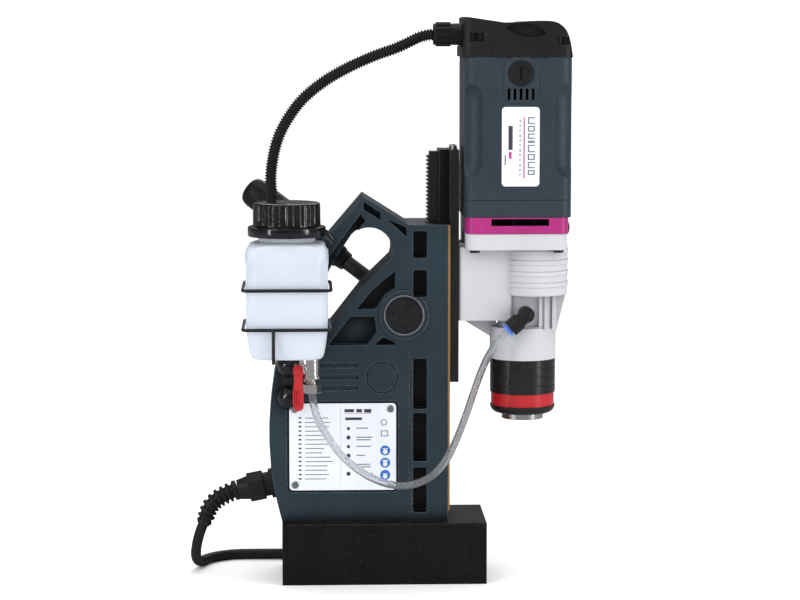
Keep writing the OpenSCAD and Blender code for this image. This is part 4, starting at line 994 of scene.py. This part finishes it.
@dataclass
class CoolantBottle:
    """Blown bottle, its ribbed cap and strap, its wire bracket and the valve's lever."""

    maker: Maker
    wall: float = 1.6
    corner: float = 9.0
    levels: tuple[Pair, ...] = (
        (0.0, 24.5), (0.7, 26.6), (2.2, 28.0), (5, 29.0), (10, 29.9), (17, 30.9), (24, 31.7), (32, 32.0),
        (48, 32.05), (74.6, 32.05), (75.5, 32.45), (79, 32.5), (81.5, 32.5), (84, 32.4), (86, 32.1),
        (87.8, 31.3), (89.2, 29.9), (90.3, 27.9), (91, 25.6), (91.4, 23.6), (91.6, 22.4), (94, 22.4),
        (118, 22.4),
    )
    neck_from: float = 88.0
    neck_to: float = 91.5
    shoulder: float = 84.5
    floor_until: float = 20.0
    cap_ribs: int = 26
    wire: float = 1.4
    bend: float = 5.0
    hoop_heights: Pair = (245.5, 214.8)
    knob_x: float = -76.0
    knob_heights: Pair = (152.6, 178.6)
    valve_at: Triple = (-60.0, -66.0, 180.0)
    valve_turn: float = 225.0

    def _section(self, centre: Vector, level: Pair, inset: float, height: float) -> list[Vector]:
        """One horizontal section, square below and round at the neck."""
        half = level[1] - inset
        share = smooth((level[0] - self.neck_from) / (self.neck_to - self.neck_from))
        corner = min(half, (self.corner - inset) * (1 - share) + half * share)
        ring = []
        for x, y in rounded_square(half, half, corner * 0.9999, 8, 9):
            aside = min(abs(x), abs(y)) / 26
            early = 0.05 * smooth((level[0] - self.shoulder + 11 * aside**2) / 3.0) * (1 - share)
            ring.append(Vector((centre.x + x * (1 - early) * MM, centre.y + y * (1 - early) * MM, height)))
        return ring

    def _bottle(self) -> None:
        """Thin-walled bottle: the outer skin, over the lip and back down inside."""
        box = Box.of("bottle")
        middle = box.middle
        outer = [self._section(middle, lv, 0.0, box.low.z + lv[0] * MM) for lv in self.levels]
        inner = []
        for lv in reversed(self.levels):
            raised = self.wall if lv[0] < self.floor_until else 0.0
            inner.append(self._section(middle, lv, self.wall, box.low.z + (lv[0] + raised) * MM))
        skin = Skin()
        skin.loft(outer + inner)
        bottle = skin.piece("bottle_blown", crease=60)
        self.maker.finish(bottle, Body.STAND, "bottle_plastic", ["bottle"])

    def _cap(self) -> None:
        """Screw cap with broad ribs round its side wall."""
        box = Box.of("bottle_cap")
        place = Matrix.Translation((box.middle.x, box.middle.y, box.low.z))
        tall = (box.high.z - box.low.z) / MM

        def flutes(radius: float, height: float, angle: float) -> float:
            """Presses a narrow groove between each two ribs of the side wall."""
            if radius < 24 * MM:
                return radius
            side = bump_over(height, 1.2 * MM, (tall - 1.2) * MM, 1.0 * MM)
            turn = angle * self.cap_ribs / (2 * math.pi) % 1.0
            groove = math.exp(-(((turn - 0.5) / 0.13) ** 2)) + 0.35 * abs(turn - 0.5)
            return radius - 1.0 * MM * side * groove

        outer = [(22.9, 0.3), (23.3, 0), (26.2, 0), (26.6, 0.3), (26.6, 1.2), (26.6, 2.2), (26.55, 8),
                 (26.5, 13), (26.4, tall - 3), (26.3, tall - 2.2), (26.2, tall - 1.5), (25.7, tall - 0.8),
                 (24.6, tall - 0.4), (22.6, tall - 0.3), (21.6, tall - 0.1), (19, tall), (10, tall),
                 (0, tall)]
        inner = [(0, tall - 2.4), (22.6, tall - 2.4), (22.9, tall - 3)]
        skin = Skin()
        skin.lathe(scaled(inner + outer), place, 12 * self.cap_ribs, flutes)
        self.maker.finish(skin.piece("cap_fluted", crease=50), Body.CAP, "black_gloss", ["bottle_cap"])

    def _strap(self) -> None:
        """Retaining ring under the cap, with its tail towards the frame."""
        box = Box.of("cap_strap")
        cap = Box.of("bottle_cap")
        axis = cap.middle
        top = box.high.z / MM
        place = Matrix.Translation((axis.x, axis.y, 0))
        ring = [(22.9, top - 7.6), (29.4, top - 7.9), (30.2, top - 7.6), (30.6, top - 7.0), (30.6, top - 1.0),
                (30.3, top - 0.3), (29.6, top), (23.2, top), (22.9, top - 0.4)]
        skin = Skin()
        skin.lathe(scaled(ring), place, 96, loop=True)
        start = (axis.x / MM + 27.5, axis.y / MM + 1, top - 4.5)
        bends = ((4.3, 0.6, -2.2), (7.4, 1.4, -5.5), (9.6, 2.6, -9.5))
        tail = spline(metres([start, *(tuple(a + b for a, b in zip(start, bend)) for bend in bends)]), 5)
        skin.sweep(tail, [(3.0 - 1.3 * (i / (len(tail) - 1)) ** 2) * MM for i in range(len(tail))], 16)
        self.maker.finish(skin.piece("cap_ring"), Body.STAND, "black_gloss", ["cap_strap"])

    def _bracket(self) -> None:
        """Bent wire: two hoops, the legs that join them, and the plate under the knobs."""
        box = Box.of("bottle_bracket")
        wire = self.wire * MM
        x0, x1, y0 = box.low.x + wire, box.high.x - wire, box.low.y + wire
        wall = Box.of("frame_casting").low.y + 1 * MM
        y1 = wall - wire - 0.1 * MM
        plate_top, plate_bottom = self.knob_heights[1] + 9, self.knob_heights[0] - 5.5
        skin = Skin()
        for height in self.hoop_heights:
            z = height * MM
            corners = [Vector(p) for p in ((x0, y0, z), (x1, y0, z), (x1, y1, z), (x0, y1, z))]
            line = rounded_path(corners, self.bend * MM, closed=True)
            skin.sweep(line, [wire] * len(line), 16, loop=True)
        low, floor = self.hoop_heights[1] * MM, Box.of("bottle").low.z - wire
        knob, leg = self.knob_x * MM, -88 * MM
        foot = [(leg, y0 - 0.1 * MM, low), (leg, y0, floor), (leg, y1 - MM, floor),
                (knob - 3.5 * MM, y1, (plate_top - 3) * MM)]
        back = [(leg + 18 * MM, y1, self.hoop_heights[0] * MM), (leg + 18 * MM, y1, low),
                (knob + 3.4 * MM, y1, (plate_top - 2.6) * MM)]
        for run in (foot, back):
            line = rounded_path([Vector(p) for p in run], 4 * MM)
            skin.sweep(line, [wire] * len(line), 16)
        face = Matrix.Translation((knob, wall, (plate_top + plate_bottom) / 2 * MM))
        outline = scaled(rounded_square(7, (plate_top - plate_bottom) / 2, 5))
        skin.slab(outline, face @ Matrix.Rotation(math.pi / 2, 4, "X"), 0.0, 2 * MM)
        self.maker.finish(skin.piece("bracket_wire"), Body.STAND, "black_wire", ["bottle_bracket"])

    def _lever(self) -> None:
        """Red lever with a waisted stem and a ribbed thumb pad."""
        turn = Matrix.Rotation(math.radians(self.valve_turn), 4, "Z")
        stem = Matrix.Translation(Vector(self.valve_at) * MM) @ turn
        place = stem @ Matrix.Rotation(math.pi / 2, 4, "Y") @ Matrix.Translation((0, 0, 11.4 * MM))
        waist = ((-4.4, 1.2), (-3.6, 3.2), (-1.4, 4.5), (2, 4.4), (5, 3.6), (9, 3.4), (12, 3.9), (16, 4.6),
                 (22, 4.9), (27, 4.9), (30, 4.1), (31.8, 2.4), (32.3, 0.8))
        boss = ((0, 2.5), (3.6, 2.5), (3.6, 3.3), (3.0, 3.6), (0, 3.6))
        outline = [(x, -y) for x, y in waist] + [(x, y) for x, y in reversed(waist)]
        skin = Skin()
        skin.slab(scaled(outline), place, 0.0, 2.6 * MM)
        for across in (-3.0, -1.0, 1.0, 3.0):
            rib = scaled((x, across + y) for x, y in rounded_square(6.6, 0.45, 0.44, 4))
            skin.slab(rib, place @ Matrix.Translation((22.5 * MM, 0, 0)), 2.5 * MM, 3.4 * MM)
        skin.lathe(scaled(boss), place, 32)
        lever = skin.piece("lever_ribbed", soften=0.35 * MM)
        self.maker.finish(lever, Body.LEVER, "red_plastic", ["valve_lever"])

    def build(self) -> None:
        """Makes the bottle and everything on it."""
        self._bottle()
        self._cap()
        self._strap()
        self._bracket()
        self._lever()


# ---------------------------------------------------------------- labels


@dataclass
class Print:
    """Thin ink on a face that looks towards -Y, one mesh for each colour."""

    maker: Maker
    name: str
    body: Body
    face_y: float
    thick: float = 0.04 * MM
    over: float = 0.09 * MM
    skins: dict[str, Skin] = field(default_factory=dict)

    def shape(self, ink: str, centre: Pair, outline: Sequence[Pair]) -> None:
        """Adds an outline in millimetres round a centre given in millimetres."""
        x, z = centre[0] * MM, centre[1] * MM
        turn = Matrix(((1, 0, 0, x), (0, 0, -1, self.face_y), (0, 1, 0, z), (0, 0, 0, 1)))
        rise = self.over if ink == "white_label" else self.thick
        self.skins.setdefault(ink, Skin()).slab(scaled(outline), turn, 0.0, rise)

    def bar(self, ink: str, x0: float, z0: float, x1: float, z1: float) -> None:
        """Adds a rectangle between two corners."""
        half = (abs(x1 - x0) / 2, abs(z1 - z0) / 2)
        box = [(-half[0], -half[1]), (half[0], -half[1]), (half[0], half[1]), (-half[0], half[1])]
        self.shape(ink, ((x0 + x1) / 2, (z0 + z1) / 2), box)

    def disc(self, ink: str, x: float, z: float, radius: float, sides: int = 32) -> None:
        """Adds a disc."""
        round_it = [(radius * math.cos(a), radius * math.sin(a)) for a in full_turn(sides)]
        self.shape(ink, (x, z), round_it)

    def finish(self) -> None:
        """Makes one piece for each ink."""
        for ink, skin in self.skins.items():
            self.maker.finish(skin.piece(f"{self.name}_{ink}"), self.body, ink)


@dataclass
class RatingPlate:
    """Printing on the rating plate, and its four cross-head screws."""

    maker: Maker
    rows: int = 15
    inset: float = 4.5

    def _text(self) -> None:
        """Generic lines, blocks and three plain discs."""
        box = Box.of("label_plate")
        x0, z1 = box.low.x / MM, box.high.z / MM
        ink = Print(self.maker, "plate", Body.STAND, box.low.y)
        for row in range(self.rows):
            z = z1 - 12.2 - row * 3.55
            long = 15.5 + 6.5 * math.sin(2.3 * row) ** 2 + 3.0 * math.cos(5.1 * row)
            ink.bar("print_dark", x0 + 7.4, z, x0 + 9.8, z + 1.25)
            ink.bar("print_grey", x0 + 12.6, z + 0.1, x0 + 12.6 + long, z + 0.85)
        ink.bar("print_grey", x0 + 41.2, z1 - 66.5, x0 + 41.35, z1 - 3)
        for k, (left, right) in enumerate(((44.4, 52.2), (54, 58.6), (60.2, 66))):
            ink.bar("print_dark", x0 + left, z1 - 7.2 - 0.2 * k, x0 + right, z1 - 4.6)
        ink.bar("print_magenta", x0 + 44.4, z1 - 8.6, x0 + 66, z1 - 8.25)
        ink.bar("print_dark", x0 + 45, z1 - 13.6, x0 + 58.5, z1 - 11.4)
        for k in range(6):
            z = z1 - 20.4 - 7.4 * k
            ink.disc("print_dark", x0 + 47.6, z, 1.7 if k % 2 else 1.35, 20)
            ink.bar("print_grey", x0 + 54, z - 0.2, x0 + 54 + (9.5, 13, 12, 7, 11, 13)[k], z + 0.7)
            if k in (1, 4):
                ink.bar("print_grey", x0 + 54, z - 2.3, x0 + 65.5, z - 1.4)
        for k, z in enumerate((z1 - 38.5, z1 - 48.5, z1 - 58.5)):
            ink.disc("print_blue", x0 + 77.2, z, 4.1, 40)
            ink.disc("white_label", x0 + 77.2, z - 1.1, 1.9, 24)
            ink.bar("white_label", x0 + 75.2, z + 0.9, x0 + 79.2, z + (1.7, 2.3, 1.3)[k])
        ink.disc("print_dark", x0 + 76.2, z1 - 15.6, 2.6, 32)
        ink.disc("white_label", x0 + 76.2, z1 - 15.6, 2.0, 32)
        ink.bar("print_dark", x0 + 73.7, z1 - 26.9, x0 + 79.6, z1 - 22.2)
        ink.bar("white_label", x0 + 74.3, z1 - 26.3, x0 + 79.0, z1 - 22.8)
        ink.finish()

    def _screws(self) -> None:
        """Domed heads with a pressed cross."""
        plate, screws = Box.of("label_plate"), Box.of("label_screws")
        skin = Skin()
        for x in (plate.low.x + self.inset * MM, plate.high.x - self.inset * MM):
            for z in (plate.low.z + self.inset * MM, plate.high.z - self.inset * MM):
                self._head(skin, Vector((x, plate.low.y, z)), plate.low.y - screws.low.y)
        self.maker.finish(skin.piece("plate_screws", crease=25), Body.STAND, "steel", ["label_screws"])

    @staticmethod
    def _head(skin: Skin, at: Vector, tall: float) -> None:
        """One head: a dome over a polar grid, pressed in where the cross is."""
        steps, radius = 64, 3.0 * MM
        rings = [[at + Vector((radius * math.cos(a), 0.2 * MM, radius * math.sin(a)))
                  for a in full_turn(steps)]]
        for share in (1.0, 0.97, 0.9, 0.8, 0.7, 0.6, 0.5, 0.4, 0.3, 0.2, 0.1, 0.02):
            ring = []
            for a in full_turn(steps):
                x, z = radius * share * math.cos(a + 0.5), radius * share * math.sin(a + 0.5)
                rise = tall * (0.45 + 0.55 * math.sqrt(max(0.0, 1 - share**2)))
                arm = min(abs(x), abs(z)) < 0.42 * MM and share < 0.72
                ring.append(at + Vector((x, -rise + (0.75 * MM if arm else 0.0), z)))
            rings.append(ring)
        skin.loft(rings)

    def build(self) -> None:
        """Makes the printing and the screws."""
        self._text()
        self._screws()


# ---------------------------------------------------------------- motor


@dataclass
class MotorTrim:
    """Label printing and the shell's seam line."""

    maker: Maker
    seam_z: float = 311.0
    half_y: float = 42.0

    def _label(self) -> None:
        """Generic bars that run up the label, with a thin magenta line."""
        box = Box.of("motor_label")
        x0, z0, z1 = box.low.x / MM, box.low.z / MM, box.high.z / MM
        ink = Print(self.maker, "motor_print", Body.HEAD, box.low.y)
        ink.bar("print_magenta", x0 + 17.2, z0 + 6.5, x0 + 18.2, z1 - 8)
        z = z1 - 8
        for k in range(8):
            tall = (5.6, 4.7, 4.4, 2.0, 6.0, 4.9, 5.2, 4.0)[k]
            ink.bar("print_grey", x0 + 20.6, z - tall, x0 + 26.2, z)
            ink.bar("white_label", x0 + 21.7, z - tall + 1.0, x0 + (25.1 if k % 2 else 26.4), z - 1.0)
            z -= tall + 1.3
        for k in range(12):
            low = z1 - 10 - 3.9 * k
            ink.bar("print_grey", x0 + 14.0, low - 2.2 + k % 3 * 0.4, x0 + 15.0, low)
        ink.bar("print_dark", x0 + 5.2, z1 - 34, x0 + 8.6, z1 - 15)
        ink.bar("print_magenta", x0 + 5.6, z1 - 41, x0 + 7.8, z1 - 35.5)
        ink.bar("print_grey", x0 + 2.2, z1 - 46, x0 + 3.3, z1 - 38)
        ink.finish()

    def _seam(self) -> None:
        """Dark line where the shell's base joins it."""
        box = Box.of("motor_housing")
        half_x = (box.high.x - box.low.x) / 2 / MM
        middle = box.middle
        rings = []
        for grow, z in ((-0.5, -0.28), (0.04, -0.28), (0.04, 0.28), (-0.5, 0.28)):
            rings.append([Vector((middle.x + x * MM, y * MM, (self.seam_z + z) * MM))
                          for x, y in rounded_square(half_x + grow, self.half_y + grow, 9 + grow)])
        skin = Skin()
        skin.loft(rings, loop=True)
        self.maker.finish(skin.piece("shell_seam"), Body.HEAD, "seam")

    def build(self) -> None:
        """Makes the motor's trim."""
        self._label()
        self._seam()


# ---------------------------------------------------------------- capstan


@dataclass
class Capstan:
    """Moulded grips on the three arms, and the cap on the shaft's near end."""

    maker: Maker
    hub: Triple = (16.0, 62.0, 218.0)
    angles: Triple = (24.0, 144.0, 264.0)
    flare: float = 20.0
    profile: tuple[Pair, ...] = (
        (0, 58), (7.2, 58), (7.9, 58.5), (8.1, 60), (8.5, 64), (8.8, 64.6), (9.6, 66), (10.1, 72), (10.9, 82),
        (11.6, 92), (12.2, 102), (12.6, 112), (12.8, 122), (12.9, 140), (12.9, 154), (12.8, 159),
        (12.3, 162.5), (11.2, 165), (9.4, 166.4), (7.4, 166.8), (6.8, 166.1), (6.2, 165.8), (0, 165.8),
    )

    @staticmethod
    def _flutes(radius: float, height: float, angle: float) -> float:
        """Presses three long finger grooves into the grip."""
        along = bump_over(height, 74 * MM, 152 * MM, 12 * MM)
        away = abs((angle + math.pi / 2 + math.pi / 3) % (2 * math.pi / 3) - math.pi / 3)
        return radius - 1.1 * MM * along * math.exp(-((away / 0.2) ** 2))

    def _grips(self) -> None:
        """The three grips as one piece."""
        skin = Skin()
        for angle in self.angles:
            place = Matrix.Translation(Vector(self.hub) * MM)
            place = place @ Matrix.Rotation(math.radians(90 - angle), 4, "Y")
            place = place @ Matrix.Rotation(math.radians(-self.flare), 4, "X")
            skin.lathe(scaled(self.profile), place, 96, self._flutes)
        grips = skin.piece("grips_fluted", crease=40)
        self.maker.finish(grips, Body.CAPSTAN, "grip_plastic", ["handle_grips"])

    def _shaft_end(self) -> None:
        """Black disc on the shaft's end, with a rim, a boss and three raised arcs."""
        box = Box.of("pinion_shaft")
        turn = Matrix.Translation((self.hub[0] * MM, box.low.y - 0.8 * MM, self.hub[2] * MM))
        place = turn @ Matrix.Rotation(math.pi / 2, 4, "X")
        disc = [(0, -1.1), (15.0, -1.1), (15.05, -0.2), (14.7, 0.0), (13.6, 0.0), (13.2, -0.6), (8.9, -0.6),
                (8.5, 0.0), (7.2, 0.0), (6.8, -0.6), (3.4, -0.62), (3.0, -0.1), (0, -0.1)]
        skin = Skin()
        skin.lathe(scaled(disc), place, 96)
        for start in (30, 150, 270):
            arc = [math.radians(start + 55 * k / 12) for k in range(13)]
            outline = [(12.0 * math.cos(a), 12.0 * math.sin(a)) for a in arc]
            outline += [(9.8 * math.cos(a), 9.8 * math.sin(a)) for a in reversed(arc)]
            skin.slab(scaled(outline), place, -0.6 * MM, -0.1 * MM)
        self.maker.finish(skin.piece("shaft_end_cap"), Body.CAPSTAN, "black_gloss")

    def build(self) -> None:
        """Makes the grips and the shaft's end."""
        self._grips()
        self._shaft_end()


# ---------------------------------------------------------------- machined parts


class Dresser:
    """Gives each machined part the finish of its slot in the record."""

    def __init__(self, paints: Paints, frame: dict) -> None:
        """Keeps the paints and the loaded frame."""
        self.paints = paints
        self.frame = frame

    def build(self) -> None:
        """Paints every machined part."""
        slots = {part["node"]: part["material_slot"] for part in self.frame["record"]["subparts"]}
        for name, node in self.frame["nodes"].items():
            node.data.materials.clear()
            node.data.materials.append(self.paints.get(slots[name]))
            log.info("part %s in %s", name, slots[name])


def corners(bounds: tuple[Vector, Vector]) -> list[list[float]]:
    """A box as plain lists of numbers."""
    return [list(bounds[0]), list(bounds[1])]


def main() -> None:
    """Builds the scene in order."""
    logging.basicConfig(level=logging.INFO, format="%(name)s: %(message)s")
    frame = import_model()
    paints = Paints()
    maker = Maker(paints)
    studio = Studio(paints)
    studio.camera()
    MainsLead(maker).build()
    HeadLines(maker).build()
    Dresser(paints, frame).build()
    CoolantBottle(maker).build()
    RatingPlate(maker).build()
    MotorTrim(maker).build()
    Capstan(maker).build()
    studio.build()


if __name__ == "__main__":
    main()
